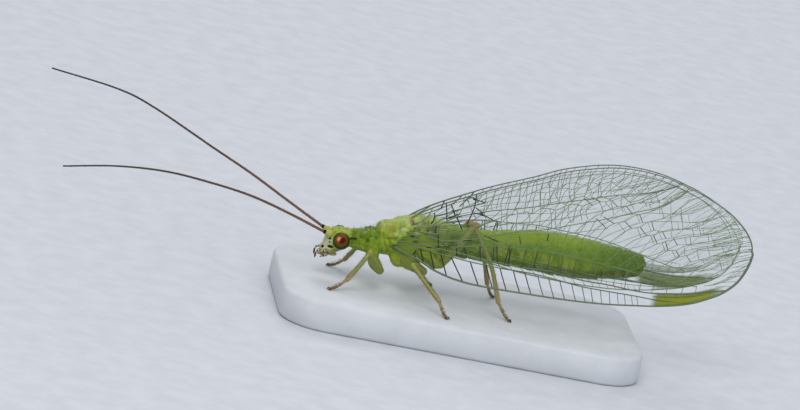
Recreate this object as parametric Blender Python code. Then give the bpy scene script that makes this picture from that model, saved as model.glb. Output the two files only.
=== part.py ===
# Green lacewing standing at rest with its wings folded like a roof, life size, on a thin flat base.
# Lengths are in millimetres and become metres in at(). The insect faces -X, its left side is -Y, +Z is up.
# Inside the script X and Z are counted from the insect's own reference point between its feet,
# and at() moves them to the origin, which is the centre of the base's underside.

import math

import bmesh
import bpy
from mathutils import Vector

MM = 0.001

# Gaps
GAP = 0.30
EYE_GAP = 0.15

# Base
BASE_LENGTH = 16.0
BASE_WIDTH = 10.0
BASE_THICKNESS = 1.0
BASE_CORNER = 2.0
BASE_EDGE = 0.15
BASE_CENTRE_X = 3.4
FEET_LEVEL = BASE_THICKNESS + GAP

# Head: an egg along an axis that runs from the crown down and forward to the mouth
CROWN = (-2.02, 2.27)
FACE_END = (-2.78, 1.18)
HEAD_SECTIONS = (
    (0.00, 0.20, 0.16),
    (0.10, 0.44, 0.34),
    (0.28, 0.60, 0.47),
    (0.50, 0.64, 0.52),
    (0.72, 0.56, 0.47),
    (0.90, 0.44, 0.38),
    (1.00, 0.26, 0.22),
)
EYE_CENTRE = (-2.25, 0.66, 1.80)
EYE_RADII = (0.37, 0.35, 0.39)

# Mouthparts
LABRUM_CENTRE = (-3.00, 0.0, 0.93)
LABRUM_RADII = (0.20, 0.28, 0.17)
PALP_RADIUS = 0.11

# Antennae: from the face to their tips, thick at the root and fine at the tip
ANTENNA_RADIUS = 0.25
ANTENNA_TIP_RADIUS = 0.08
ANTENNA_LEFT = (
    (-2.98, -0.42, 2.08), (-4.80, -0.95, 2.69), (-6.64, -1.90, 3.31), (-8.59, -3.10, 3.83),
    (-10.76, -4.30, 4.23), (-12.98, -5.30, 4.29), (-15.27, -6.00, 4.02),
)
ANTENNA_RIGHT = (
    (-2.98, 0.42, 2.10), (-4.80, 0.50, 2.93), (-6.56, 0.55, 3.71), (-8.52, 0.55, 4.56),
    (-11.32, 0.45, 5.80), (-13.07, 0.35, 6.34), (-16.05, 0.30, 6.70),
)
ANTENNA_STEPS = 5

# Thorax and abdomen: sections at x, with the height of the top and the bottom and the half width
PROTHORAX_SECTIONS = (
    (-1.62, 2.16, 1.62, 0.34),
    (-1.50, 2.26, 1.50, 0.47),
    (-1.20, 2.36, 1.42, 0.55),
    (-0.90, 2.46, 1.38, 0.60),
    (-0.66, 2.60, 1.38, 0.64),
    (-0.52, 2.62, 1.50, 0.56),
)
MESOTHORAX_SECTIONS = (
    (-0.22, 2.84, 1.86, 0.50),
    (0.00, 3.14, 1.74, 0.68),
    (0.26, 3.36, 1.70, 0.76),
    (0.52, 3.36, 1.68, 0.80),
    (0.68, 3.44, 1.70, 0.78),
    (0.84, 3.42, 1.78, 0.70),
    (0.94, 3.26, 1.92, 0.54),
)
METATHORAX_SECTIONS = (
    (1.24, 3.24, 1.94, 0.54),
    (1.34, 3.40, 1.84, 0.64),
    (1.58, 3.44, 1.78, 0.68),
    (1.84, 3.42, 1.80, 0.66),
    (2.02, 3.26, 1.92, 0.58),
    (2.12, 3.16, 2.02, 0.46),
)
# Humps of the back on each side: centre and radii, for the middle and the hind thorax
MESOTHORAX_HUMPS = (
    ((0.08, 0.34, 2.98), (0.30, 0.34, 0.34)),
    ((0.62, 0.36, 3.14), (0.24, 0.32, 0.32)),
)
METATHORAX_HUMPS = (
    ((1.66, 0.30, 3.18), (0.34, 0.30, 0.30)),
)
ABDOMEN_START = 2.42
ABDOMEN_END = 11.15
ABDOMEN_SECTIONS = (
    (0.00, 3.08, 2.06, 0.38),
    (0.04, 3.18, 1.94, 0.50),
    (0.17, 3.30, 1.96, 0.62),
    (0.42, 3.66, 1.99, 0.74),
    (0.62, 3.78, 1.93, 0.78),
    (0.80, 3.72, 2.16, 0.74),
    (0.93, 3.56, 2.56, 0.56),
    (1.00, 3.34, 2.98, 0.22),
)
ABDOMEN_RINGS = 9
SEGMENT_GROOVE = 0.05
BODY_SIDES = 16

# Wings: matching places along the front and the hind margin, seen from the side, root first
FOREWING_FRONT = (
    (0.55, 2.20), (1.60, 1.72), (3.20, 1.46), (5.60, 1.46), (8.00, 1.56),
    (10.50, 1.78), (12.60, 2.00), (14.10, 2.46), (14.98, 3.24), (15.46, 4.30),
)
FOREWING_HIND = (
    (0.65, 3.60), (1.60, 4.30), (2.80, 4.92), (5.20, 6.02), (7.90, 7.07),
    (10.30, 7.38), (12.60, 6.98), (14.10, 6.40), (14.98, 5.66), (15.46, 4.86),
)
HINDWING_FRONT = (
    (1.62, 2.86), (2.60, 3.12), (3.80, 3.18), (5.60, 2.62), (8.00, 2.20),
    (10.20, 2.36), (12.00, 2.70), (13.20, 3.20), (13.90, 3.85),
)
HINDWING_HIND = (
    (1.62, 3.36), (2.50, 3.86), (3.80, 4.50), (5.60, 5.00), (8.00, 5.42),
    (10.20, 5.62), (12.00, 5.52), (13.20, 5.12), (13.90, 4.55),
)
WING_HALF_THICKNESS = 0.22
WING_RIDGE = 0.07
VEIN_HALF_WIDTH = 0.12
WING_ROOT_Y = 1.32
WING_FRONT_Y = 2.60
WING_HIND_Y = 0.42
WING_TIP_FRONT_Y = 1.30
WING_TIP_HIND_Y = 0.62
WING_FLARE_END = 3.6
WING_CLOSING = (2.4, 7.0)
WING_NARROWING = (9.0, 15.6)
WING_BEND = 2.6
WING_STACK = 0.82
HINDWING_ROOT_Y = 1.14
# Veins as shares of the chord at the root, the middle and the tip, from the front margin
FOREWING_VEINS = (
    (0.16, 0.19, 0.06), (0.32, 0.27, 0.14), (0.47, 0.42, 0.36), (0.63, 0.58, 0.66), (0.80, 0.78, 0.88),
)
HINDWING_VEINS = (
    (0.20, 0.14, 0.10), (0.42, 0.36, 0.34), (0.62, 0.60, 0.62), (0.82, 0.82, 0.86),
)
FOREWING_CROSSINGS = 11
HINDWING_CROSSINGS = 8
CROSSING_HALF_WIDTH = 0.010
TIP_COLUMNS = (0.965, 0.985)

# Legs: coxa, knee, end of the shin and end of the foot on the left side; the right one has its own pose
LEG_RADII = {"coxa": 0.28, "femur": 0.23, "knee": 0.24, "tibia": 0.21, "ankle": 0.20, "foot": 0.16}
FOOT_DROP = 0.12
LEGS = {
    "foreleg_left": ((-0.72, -0.50, 0.94), (-0.34, -0.82, 0.86), (-1.06, -1.75, 1.78), (-1.84, -2.10, 0.49),
                     (-2.52, -2.50)),
    "foreleg_right": ((-0.72, 0.50, 0.94), (-0.42, 0.82, 0.86), (-1.12, 1.62, 1.50), (-1.67, 1.60, 0.46),
                      (-2.25, 1.76)),
    "midleg_left": ((0.52, -0.56, 1.22), (1.20, -0.95, 1.20), (0.80, -2.40, 1.74), (2.11, -3.30, 0.63),
                    (2.52, -3.74)),
    "midleg_right": ((0.52, 0.56, 1.22), (1.05, 0.95, 1.18), (1.25, 1.90, 1.60), (1.95, 1.70, 0.55),
                     (2.42, 1.66)),
    "hindleg_left": ((1.72, -0.46, 1.32), (2.30, -0.72, 1.50), (3.30, -0.74, 3.62), (4.86, -2.02, 0.74),
                     (5.46, -2.17)),
    "hindleg_right": ((1.72, 0.46, 1.32), (2.30, 0.72, 1.50), (3.26, 0.74, 3.34), (4.73, 1.60, 0.60),
                      (5.10, 1.62)),
}
HINDLEG_SIDE = 1.10


def at(x, y, z):
    """A place on the insect, in millimetres, as a place in the model, in metres."""
    return Vector(((x - BASE_CENTRE_X) * MM, y * MM, (z + FEET_LEVEL) * MM))


def clear_scene():
    for item in list(bpy.data.objects):
        bpy.data.objects.remove(item, do_unlink=True)


def new_collection(name):
    collection = bpy.data.collections.new(name)
    bpy.context.scene.collection.children.link(collection)
    return collection


def material(name, colour, roughness, alpha=1.0):
    found = bpy.data.materials.get(name)
    if found:
        return found
    made = bpy.data.materials.new(name)
    made.use_nodes = True
    shader = made.node_tree.nodes["Principled BSDF"]
    shader.inputs["Base Color"].default_value = (*colour, 1.0)
    shader.inputs["Roughness"].default_value = roughness
    shader.inputs["Alpha"].default_value = alpha
    return made


def skin_material():
    return material("skin", (0.26, 0.46, 0.05), 0.45)


def eye_material():
    return material("eye", (0.20, 0.10, 0.03), 0.15)


def antenna_material():
    return material("antenna", (0.14, 0.07, 0.03), 0.5)


def leg_material():
    return material("leg", (0.40, 0.46, 0.12), 0.45)


def wing_material():
    return material("wing", (0.62, 0.74, 0.60), 0.25)


def stand_material():
    return material("stand", (0.72, 0.73, 0.74), 0.6)


def add_object(name, mesh, collection, look):
    made = bpy.data.objects.new(name, mesh)
    collection.objects.link(made)
    mesh.materials.clear()
    mesh.materials.append(look)
    for face in mesh.polygons:
        face.use_smooth = True
    mesh.set_sharp_from_angle(angle=math.radians(40))
    return made


def mesh_from(bm, name):
    bmesh.ops.recalc_face_normals(bm, faces=bm.faces)
    mesh = bpy.data.meshes.new(name)
    bm.to_mesh(mesh)
    bm.free()
    return mesh


def loft(name, rings):
    """A closed mesh through rings of equal counts, closed with a fan to the middle of each end ring."""
    bm = bmesh.new()
    rows = [[bm.verts.new(point) for point in ring] for ring in rings]
    count = len(rows[0])
    for row, following in zip(rows, rows[1:]):
        for i in range(count):
            j = (i + 1) % count
            bm.faces.new((row[i], row[j], following[j], following[i]))
    for ring, row in ((rings[0], rows[0]), (rings[-1], rows[-1])):
        middle = bm.verts.new(sum(ring, Vector()) / count)
        for i in range(count):
            bm.faces.new((row[i], row[(i + 1) % count], middle))
    return mesh_from(bm, name)


def upright_ring(x, top, bottom, half_width, sides=BODY_SIDES, squareness=0.88):
    """One section of the body across X, a little squarer than an ellipse."""
    ring = []
    for i in range(sides):
        angle = 2.0 * math.pi * (i + 0.5) / sides
        c, s = math.cos(angle), math.sin(angle)
        y = half_width * math.copysign(abs(c) ** squareness, c)
        z = (top + bottom) / 2.0 + (top - bottom) / 2.0 * math.copysign(abs(s) ** squareness, s)
        ring.append(at(x, y, z))
    return ring


def smooth_through(values, t):
    """A smooth curve through evenly spaced values, read at t from 0 to 1."""
    last = len(values) - 1
    place = min(max(t, 0.0), 1.0) * last
    i = min(int(place), last - 1)
    f = place - i
    p1, p2 = values[i], values[i + 1]
    p0 = values[i - 1] if i > 0 else 2.0 * p1 - p2
    p3 = values[i + 2] if i + 2 <= last else 2.0 * p2 - p1
    pull = p2 - p0
    push = p3 - p1
    return p1 + f * (0.5 * pull + f * (3.0 * (p2 - p1) - pull - 0.5 * push
                                       + f * (0.5 * (pull + push) - 2.0 * (p2 - p1))))


def ellipsoid(centre, radii, segments=16, rings=10):
    bm = bmesh.new()
    bmesh.ops.create_uvsphere(bm, u_segments=segments, v_segments=rings, radius=1.0)
    for vert in bm.verts:
        x, y, z = vert.co
        vert.co = at(centre[0] + radii[0] * x, centre[1] + radii[1] * y, centre[2] + radii[2] * z)
    return mesh_from(bm, "ellipsoid")


def tube(points, radii, collection, resolution=1):
    """A closed round bar of changing radius along a path of placed points, as a mesh object."""
    curve = bpy.data.curves.new("bar", "CURVE")
    curve.dimensions = "3D"
    curve.bevel_depth = 1.0
    curve.bevel_resolution = resolution
    curve.use_fill_caps = True
    spline = curve.splines.new("POLY")
    spline.points.add(len(points) - 1)
    for spot, point, radius in zip(spline.points, points, radii):
        spot.co = (*point, 1.0)
        spot.radius = radius * MM
    holder = bpy.data.objects.new("bar", curve)
    collection.objects.link(holder)
    bpy.context.view_layer.update()
    mesh = bpy.data.meshes.new_from_object(holder.evaluated_get(bpy.context.evaluated_depsgraph_get()))
    bm = bmesh.new()
    bm.from_mesh(mesh)
    bmesh.ops.remove_doubles(bm, verts=bm.verts, dist=0.00001)
    bmesh.ops.recalc_face_normals(bm, faces=bm.faces)
    bm.to_mesh(mesh)
    bm.free()
    made = bpy.data.objects.new("bar", mesh)
    made.matrix_world = holder.matrix_world
    collection.objects.link(made)
    bpy.data.objects.remove(holder, do_unlink=True)
    return made


def largest_body(mesh):
    """Keep only the largest closed surface of a mesh."""
    bm = bmesh.new()
    bm.from_mesh(mesh)
    unseen = set(bm.verts)
    groups = []
    while unseen:
        front = [unseen.pop()]
        group = set(front)
        while front:
            for edge in front.pop().link_edges:
                for vert in edge.verts:
                    if vert in unseen:
                        unseen.discard(vert)
                        group.add(vert)
                        front.append(vert)
        groups.append(group)
    groups.sort(key=len)
    loose = [vert for group in groups[:-1] for vert in group]
    bmesh.ops.delete(bm, geom=loose, context="VERTS")
    bm.to_mesh(mesh)
    bm.free()


def fuse(name, pieces, collection, look, solver="EXACT"):
    """Join closed pieces, the first being the main one, into one closed body."""
    main, others = pieces[0], pieces[1:]
    joined = bpy.data.collections.new("pieces_of_" + name)
    bpy.context.scene.collection.children.link(joined)
    for piece in others:
        for owner in list(piece.users_collection):
            owner.objects.unlink(piece)
        joined.objects.link(piece)
    union = main.modifiers.new("union", "BOOLEAN")
    union.operand_type = "COLLECTION"
    union.collection = joined
    union.operation = "UNION"
    union.solver = solver
    bpy.context.view_layer.update()
    mesh = bpy.data.meshes.new_from_object(main.evaluated_get(bpy.context.evaluated_depsgraph_get()))
    mesh.name = name
    for piece in list(joined.objects):
        bpy.data.objects.remove(piece, do_unlink=True)
    bpy.data.collections.remove(joined)
    bpy.data.objects.remove(main, do_unlink=True)
    largest_body(mesh)
    return add_object(name, mesh, collection, look)


def cut_away(target, cutter_mesh, cutters, name):
    """Hollow a target object with a cutter that stays as a hidden guide."""
    cutter = bpy.data.objects.new(name, cutter_mesh)
    cutters.objects.link(cutter)
    cutter.hide_render = True
    cutter.display_type = "WIRE"
    cut = target.modifiers.new(name, "BOOLEAN")
    cut.operation = "DIFFERENCE"
    cut.solver = "EXACT"
    cut.object = cutter


def flatten_below(mesh, level):
    """Cut a mesh flat at a level in metres and keep what is above it."""
    bm = bmesh.new()
    bm.from_mesh(mesh)
    everything = list(bm.verts) + list(bm.edges) + list(bm.faces)
    bmesh.ops.bisect_plane(bm, geom=everything, plane_co=(0, 0, level), plane_no=(0, 0, -1), clear_outer=True)
    rim = [edge for edge in bm.edges if edge.is_boundary]
    bmesh.ops.holes_fill(bm, edges=rim)
    bmesh.ops.recalc_face_normals(bm, faces=bm.faces)
    bm.to_mesh(mesh)
    bm.free()


def make_base(collection):
    bm = bmesh.new()
    bmesh.ops.create_cube(bm, size=1.0)
    for vert in bm.verts:
        vert.co.x *= BASE_LENGTH * MM
        vert.co.y *= BASE_WIDTH * MM
        vert.co.z = (vert.co.z + 0.5) * BASE_THICKNESS * MM
    corners = [edge for edge in bm.edges if abs(edge.verts[0].co.z - edge.verts[1].co.z) > 0.5 * MM]
    bmesh.ops.bevel(bm, geom=corners, offset=BASE_CORNER * MM, segments=5, affect="EDGES", profile=0.5)
    top = [edge for edge in bm.edges if min(vert.co.z for vert in edge.verts) > 0.9 * BASE_THICKNESS * MM]
    bmesh.ops.bevel(bm, geom=top, offset=BASE_EDGE * MM, segments=1, affect="EDGES", profile=0.5)
    add_object("stand_base", mesh_from(bm, "stand_base"), collection, stand_material())


def make_head(collection, cutters):
    crown = Vector((CROWN[0], 0.0, CROWN[1]))
    end = Vector((FACE_END[0], 0.0, FACE_END[1]))
    axis = end - crown
    across = axis.normalized().cross(Vector((0.0, 1.0, 0.0)))
    rings = []
    for share, half_width, half_depth in HEAD_SECTIONS:
        middle = crown + axis * share
        ring = []
        for i in range(BODY_SIDES):
            angle = 2.0 * math.pi * (i + 0.5) / BODY_SIDES
            spot = middle + across * (half_depth * math.cos(angle))
            ring.append(at(spot.x, half_width * math.sin(angle), spot.z))
        rings.append(ring)
    head = add_object("head", loft("head", rings), collection, skin_material())
    for side, name in ((-1, "left"), (1, "right")):
        centre = (EYE_CENTRE[0], side * EYE_CENTRE[1], EYE_CENTRE[2])
        socket = tuple(radius + EYE_GAP for radius in EYE_RADII)
        cut_away(head, ellipsoid(centre, socket), cutters, "socket_" + name)
        add_object("eye_" + name, ellipsoid(centre, EYE_RADII), collection, eye_material())


def make_mouth(collection):
    pieces = [add_object("labrum", ellipsoid(LABRUM_CENTRE, LABRUM_RADII, 12, 8), collection, skin_material())]
    for side in (-1, 1):
        x, y, z = LABRUM_CENTRE
        upper = [at(x, side * 0.16, z), at(x - 0.20, side * 0.36, z - 0.02), at(x - 0.27, side * 0.38, z - 0.22)]
        lower = [at(x + 0.04, side * 0.10, z), at(x + 0.02, side * 0.22, z - 0.22), at(x - 0.08, side * 0.26, z - 0.38)]
        for route in (upper, lower):
            pieces.append(tube(route, (PALP_RADIUS, PALP_RADIUS, 0.7 * PALP_RADIUS), collection))
    fuse("mouthparts", pieces, collection, skin_material())


def make_antennae(collection):
    for name, route in (("antenna_left", ANTENNA_LEFT), ("antenna_right", ANTENNA_RIGHT)):
        steps = ANTENNA_STEPS * (len(route) - 1)
        points = []
        radii = []
        for i in range(steps + 1):
            t = i / steps
            points.append(at(*(smooth_through([spot[k] for spot in route], t) for k in range(3))))
            radii.append(ANTENNA_RADIUS + (ANTENNA_TIP_RADIUS - ANTENNA_RADIUS) * max(0.0, (t - 0.45) / 0.55))
        bar = tube(points, radii, collection)
        bar.name = name
        bar.data.name = name
        bar.data.materials.append(antenna_material())


def make_thorax(collection):
    for name, sections, humps in (
        ("prothorax", PROTHORAX_SECTIONS, ()),
        ("mesothorax", MESOTHORAX_SECTIONS, MESOTHORAX_HUMPS),
        ("metathorax", METATHORAX_SECTIONS, METATHORAX_HUMPS),
    ):
        rings = [upright_ring(*section) for section in sections]
        pieces = [add_object(name, loft(name, rings), collection, skin_material())]
        for (x, y, z), radii in humps:
            for side in (-1, 1):
                hump = ellipsoid((x, side * y, z), radii, 12, 8)
                pieces.append(add_object("hump", hump, collection, skin_material()))
        if humps:
            fuse(name, pieces, collection, skin_material())


def abdomen_size(share, column):
    """Read the abdomen's top, bottom or half width at a share of its length."""
    for low, high in zip(ABDOMEN_SECTIONS, ABDOMEN_SECTIONS[1:]):
        if share <= high[0]:
            f = (share - low[0]) / (high[0] - low[0])
            return low[column] + f * (high[column] - low[column])
    return ABDOMEN_SECTIONS[-1][column]


def make_abdomen(collection):
    shares = [0.0, 0.03]
    for i in range(ABDOMEN_RINGS):
        start = 0.03 + (0.95 - 0.03) * i / ABDOMEN_RINGS
        step = (0.95 - 0.03) / ABDOMEN_RINGS
        shares += [start + 0.20 * step, start + 0.60 * step, start + step]
    shares.append(1.0)
    rings = []
    for i, share in enumerate(shares):
        groove = SEGMENT_GROOVE if i > 1 and (i - 1) % 3 == 0 and share < 0.97 else 0.0
        top, bottom, half_width = (abdomen_size(share, column) for column in (1, 2, 3))
        x = ABDOMEN_START + share * (ABDOMEN_END - ABDOMEN_START)
        rings.append(upright_ring(x, top - groove, bottom + groove, half_width - groove))
    add_object("abdomen", loft("abdomen", rings), collection, skin_material())


def ease(low, high, value):
    f = min(max((value - low) / (high - low), 0.0), 1.0)
    return f * f * (3.0 - 2.0 * f)


def forewing_y(x, share):
    """How far the forewing's middle surface stands from the midline, at x and a share of the chord."""
    f = min(max((x - FOREWING_FRONT[0][0]) / (WING_FLARE_END - FOREWING_FRONT[0][0]), 0.0), 1.0)
    front = WING_ROOT_Y + (WING_FRONT_Y - WING_ROOT_Y) * math.sin(f * math.pi / 2.0)
    hind = WING_ROOT_Y + (WING_HIND_Y - WING_ROOT_Y) * ease(*WING_CLOSING, x)
    narrowing = ease(*WING_NARROWING, x)
    front += (WING_TIP_FRONT_Y - WING_FRONT_Y) * narrowing
    hind += (WING_TIP_HIND_Y - WING_HIND_Y) * narrowing
    return front - (front - hind) * share ** WING_BEND


def margin(points, t):
    return tuple(smooth_through([point[k] for point in points], t) for k in range(2))


def forewing_chord(x):
    """Heights of the forewing's front and hind margin at x."""
    def height(points):
        for low, high in zip(points, points[1:]):
            if x <= high[0]:
                return low[1] + (high[1] - low[1]) * (x - low[0]) / (high[0] - low[0])
        return points[-1][1]
    return height(FOREWING_FRONT), height(FOREWING_HIND)


def forewing_middle(t, share):
    front, hind = margin(FOREWING_FRONT, t), margin(FOREWING_HIND, t)
    x = front[0] + (hind[0] - front[0]) * share
    z = front[1] + (hind[1] - front[1]) * share
    return Vector((x, -forewing_y(x, share), z))


def hindwing_middle(t, share):
    """The hindwing lies inside the forewing, a fixed distance from it."""
    front, hind = margin(HINDWING_FRONT, t), margin(HINDWING_HIND, t)
    x = front[0] + (hind[0] - front[0]) * share
    z = front[1] + (hind[1] - front[1]) * share
    low, high = forewing_chord(x)

    def outer(height):
        return forewing_y(x, min(max((height - low) / (high - low), 0.0), 1.0))

    slope = (outer(z + 0.1) - outer(z - 0.1)) / 0.2
    inside = outer(z) - WING_STACK * math.sqrt(1.0 + slope * slope)
    settled = ease(HINDWING_FRONT[0][0], HINDWING_FRONT[0][0] + 1.5, x)
    return Vector((x, -(HINDWING_ROOT_Y + (inside - HINDWING_ROOT_Y) * settled), z))


def three_point(values, t):
    """A parabola through values at the root, the middle and the tip."""
    low, middle, high = values
    return low * (1 - t) * (1 - 2 * t) + 4 * middle * t * (1 - t) + high * t * (2 * t - 1)


def wing_rows(veins, t, chord):
    """Shares of the chord for each row of points and whether it is a crest."""
    half = min(VEIN_HALF_WIDTH / chord, 0.045)
    rows = [(0.0, True), (half, False)]
    for vein in veins:
        middle = three_point(vein, t)
        rows += [(middle - half, False), (middle, True), (middle + half, False)]
    rows += [(1.0 - half, False), (1.0, True)]
    return rows


def wing_columns(crossings):
    """Places along the wing, with each cross vein as a crest between two low columns."""
    columns = [(0.0, True)]
    for i in range(crossings):
        middle = 0.95 * (i + 0.7) / (crossings + 0.4)
        columns += [(middle - CROSSING_HALF_WIDTH, False), (middle, True), (middle + CROSSING_HALF_WIDTH, False)]
    columns += [(place, False) for place in TIP_COLUMNS]
    columns.append((1.0, True))
    return columns


def make_wing(name, side, middle_surface, veins, crossings, collection):
    """One wing as a thin slab whose veins stand up from both faces, split alike on both."""
    grid = []
    for t, crossing in wing_columns(crossings):
        chord = (middle_surface(t, 1.0) - middle_surface(t, 0.0)).length
        column = []
        for share, crest in wing_rows(veins, t, chord):
            here = middle_surface(t, share)
            along = middle_surface(min(t + 0.01, 1.0), share) - middle_surface(max(t - 0.01, 0.0), share)
            up = middle_surface(t, min(share + 0.01, 1.0)) - middle_surface(t, max(share - 0.01, 0.0))
            outward = along.cross(up).normalized()
            half = WING_HALF_THICKNESS + (WING_RIDGE if crest or crossing else 0.0)
            column.append((here + outward * half, here - outward * half))
        grid.append(column)
    bm = bmesh.new()

    def place(spot):
        return bm.verts.new(at(spot.x, -side * spot.y, spot.z))

    faces = [[[place(pair[k]) for pair in column] for column in grid] for k in range(2)]
    columns, rows = len(grid), len(grid[0])
    for layer in faces:
        for i in range(columns - 1):
            for j in range(rows - 1):
                a, b = layer[i][j], layer[i + 1][j]
                c, d = layer[i + 1][j + 1], layer[i][j + 1]
                bm.faces.new((a, b, c))
                bm.faces.new((a, c, d))
    border = [(i, 0) for i in range(columns)] + [(columns - 1, j) for j in range(1, rows)]
    border += [(i, rows - 1) for i in range(columns - 2, -1, -1)] + [(0, j) for j in range(rows - 2, 0, -1)]
    for (i, j), (k, m) in zip(border, border[1:] + border[:1]):
        bm.faces.new((faces[0][i][j], faces[0][k][m], faces[1][k][m], faces[1][i][j]))
    add_object(name, mesh_from(bm, name), collection, wing_material())


def make_wings(collection):
    for side, word in ((-1, "left"), (1, "right")):
        make_wing("forewing_" + word, side, forewing_middle, FOREWING_VEINS, FOREWING_CROSSINGS, collection)
        make_wing("hindwing_" + word, side, hindwing_middle, HINDWING_VEINS, HINDWING_CROSSINGS, collection)


def make_leg(name, coxa, trochanter, knee, ankle, foot, collection):
    """A leg fused from a coxa, thigh, shin and foot, cut to a small flat under the foot."""
    r = LEG_RADII
    look = leg_material()
    toe = (foot[0], foot[1], FOOT_DROP)
    instep = tuple((a + b) / 2.0 for a, b in zip(ankle, toe))
    shin = [knee, ankle]
    if name.startswith("hindleg"):
        bow = (knee[0] + 0.62, math.copysign(HINDLEG_SIDE, knee[1]), knee[2] - 0.90)
        low = (knee[0] + 1.10, math.copysign(1.30, knee[1]), 2.00)
        shin = [knee, bow, low, ankle]
    thigh = [trochanter, knee]
    if name.startswith("hindleg"):
        thigh = [trochanter, (2.62, math.copysign(HINDLEG_SIDE, knee[1]), 2.55), knee]

    def ball(centre, radius):
        return add_object("ball", ellipsoid(centre, (radius, radius, radius), 10, 6), collection, look)

    def bar(spots, radii):
        return tube([at(*spot) for spot in spots], radii, collection)

    pieces = [
        bar([coxa, trochanter], (r["coxa"], r["femur"])),
        ball(coxa, r["coxa"] + 0.01),
        ball(trochanter, r["femur"] + 0.01),
        bar(thigh, [r["femur"]] * len(thigh)),
        ball(knee, r["knee"] + 0.01),
        bar(shin, [r["tibia"]] * len(shin)),
        ball(ankle, r["ankle"] + 0.02),
        bar([ankle, instep, toe], (r["ankle"], r["ankle"], r["foot"])),
    ]
    leg = fuse(name, pieces, collection, look)
    flatten_below(leg.data, FEET_LEVEL * MM)


def make_legs(collection):
    for name, (coxa, trochanter, knee, ankle, foot) in LEGS.items():
        make_leg(name, coxa, trochanter, knee, ankle, foot, collection)


def build():
    clear_scene()
    collection = new_collection("green_lacewing")
    cutters = new_collection("cutters")
    make_base(collection)
    make_head(collection, cutters)
    make_mouth(collection)
    make_antennae(collection)
    make_thorax(collection)
    make_abdomen(collection)
    make_wings(collection)
    make_legs(collection)


build()
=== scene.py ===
"""Looks of a green lacewing at rest, life size, standing on a thin flat base.

Shapes are worked out in millimetres in the insect's own frame: X towards the
tail, Y to its right, Z up from the soles of the feet. They are moved to the
shared frame, in metres, when each piece is finished.
"""
import math
import random

import bmesh
import bpy
import numpy as np
from mathutils import Matrix, Vector, noise
from mathutils.kdtree import KDTree


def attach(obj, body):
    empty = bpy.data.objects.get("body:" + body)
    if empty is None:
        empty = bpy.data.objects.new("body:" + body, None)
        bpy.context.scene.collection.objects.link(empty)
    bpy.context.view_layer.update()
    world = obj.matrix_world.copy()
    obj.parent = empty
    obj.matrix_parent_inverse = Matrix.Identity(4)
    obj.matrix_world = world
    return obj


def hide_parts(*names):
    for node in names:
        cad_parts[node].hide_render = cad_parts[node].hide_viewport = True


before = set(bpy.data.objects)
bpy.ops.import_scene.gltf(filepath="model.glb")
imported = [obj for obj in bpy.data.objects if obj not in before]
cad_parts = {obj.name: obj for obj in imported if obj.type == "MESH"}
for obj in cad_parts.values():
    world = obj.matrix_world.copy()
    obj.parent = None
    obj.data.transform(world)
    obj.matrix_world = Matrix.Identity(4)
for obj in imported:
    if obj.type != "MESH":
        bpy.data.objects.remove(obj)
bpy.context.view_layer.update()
scene = bpy.context.scene

# The shared frame
MM = 0.001
BASE_CENTRE_X = 3.4
FEET_LEVEL = 1.3
TO_MODEL = Matrix.Scale(MM, 4) @ Matrix.Translation((-BASE_CENTRE_X, 0.0, FEET_LEVEL))
SIDES = (-1, 1)
SIDE_NAMES = {-1: "left", 1: "right"}

# The photo's view: where the camera stands, and the picture's middle in pixels
CAMERA_AZIMUTH, CAMERA_ELEVATION, CAMERA_ROLL = -8.0, 13.0, 12.67
CAMERA_DISTANCE = 300.0
CAMERA_TARGET = Vector((0.0, 0.0, 3.714))
PIXEL_SIZE = 0.0435
PICTURE_CENTRE = (400.0, 205.0)
SENSOR = 36.0


def view_axes():
    """The view's directions to the right, up and back to the camera."""
    turn, lift, roll = (math.radians(v) for v in (CAMERA_AZIMUTH, CAMERA_ELEVATION, CAMERA_ROLL))
    back = Vector((math.sin(turn) * math.cos(lift), -math.cos(turn) * math.cos(lift), math.sin(lift)))
    level = Vector((math.cos(turn), math.sin(turn), 0.0))
    up = back.cross(level)
    right = level * math.cos(roll) + up * math.sin(roll)
    top = up * math.cos(roll) - level * math.sin(roll)
    return right, top, back


# Small helpers

def ease(low, high, value):
    """0 below low and 1 above high, with a smooth rise between."""
    share = np.clip((value - low) / (high - low), 0.0, 1.0)
    return share * share * (3.0 - 2.0 * share)


def smooth_through(values, share):
    """A smooth curve through evenly spaced values, at a share of its length."""
    last = len(values) - 1
    place = min(max(share, 0.0), 1.0) * last
    i = min(int(place), last - 1)
    f = place - i
    p1, p2 = values[i], values[i + 1]
    p0 = values[i - 1] if i > 0 else 2.0 * p1 - p2
    p3 = values[i + 2] if i + 2 <= last else 2.0 * p2 - p1
    a, b = p2 - p0, p3 - p1
    return p1 + f * (0.5 * a + f * (3.0 * (p2 - p1) - a - 0.5 * b + f * (0.5 * (a + b) - 2.0 * (p2 - p1))))


def curve(points, count):
    """Points on a smooth curve through the given ones."""
    size = len(points[0])
    return [
        tuple(smooth_through([p[k] for p in points], i / (count - 1)) for k in range(size))
        for i in range(count)
    ]


def mirrored(point, side):
    """A point given for the right side, on that side or on the left one."""
    x, y, z = point
    return x, side * y, z


def new_mesh(name, verts, faces):
    mesh = bpy.data.meshes.new(name)
    mesh.from_pydata([tuple(v) for v in verts], [], faces)
    mesh.update()
    return mesh


def set_values(mesh, values):
    """Named values at the vertices, which the materials read."""
    for name, value in values.items():
        mesh.attributes.new(name, "FLOAT", "POINT").data.foreach_set("value", value)


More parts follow.
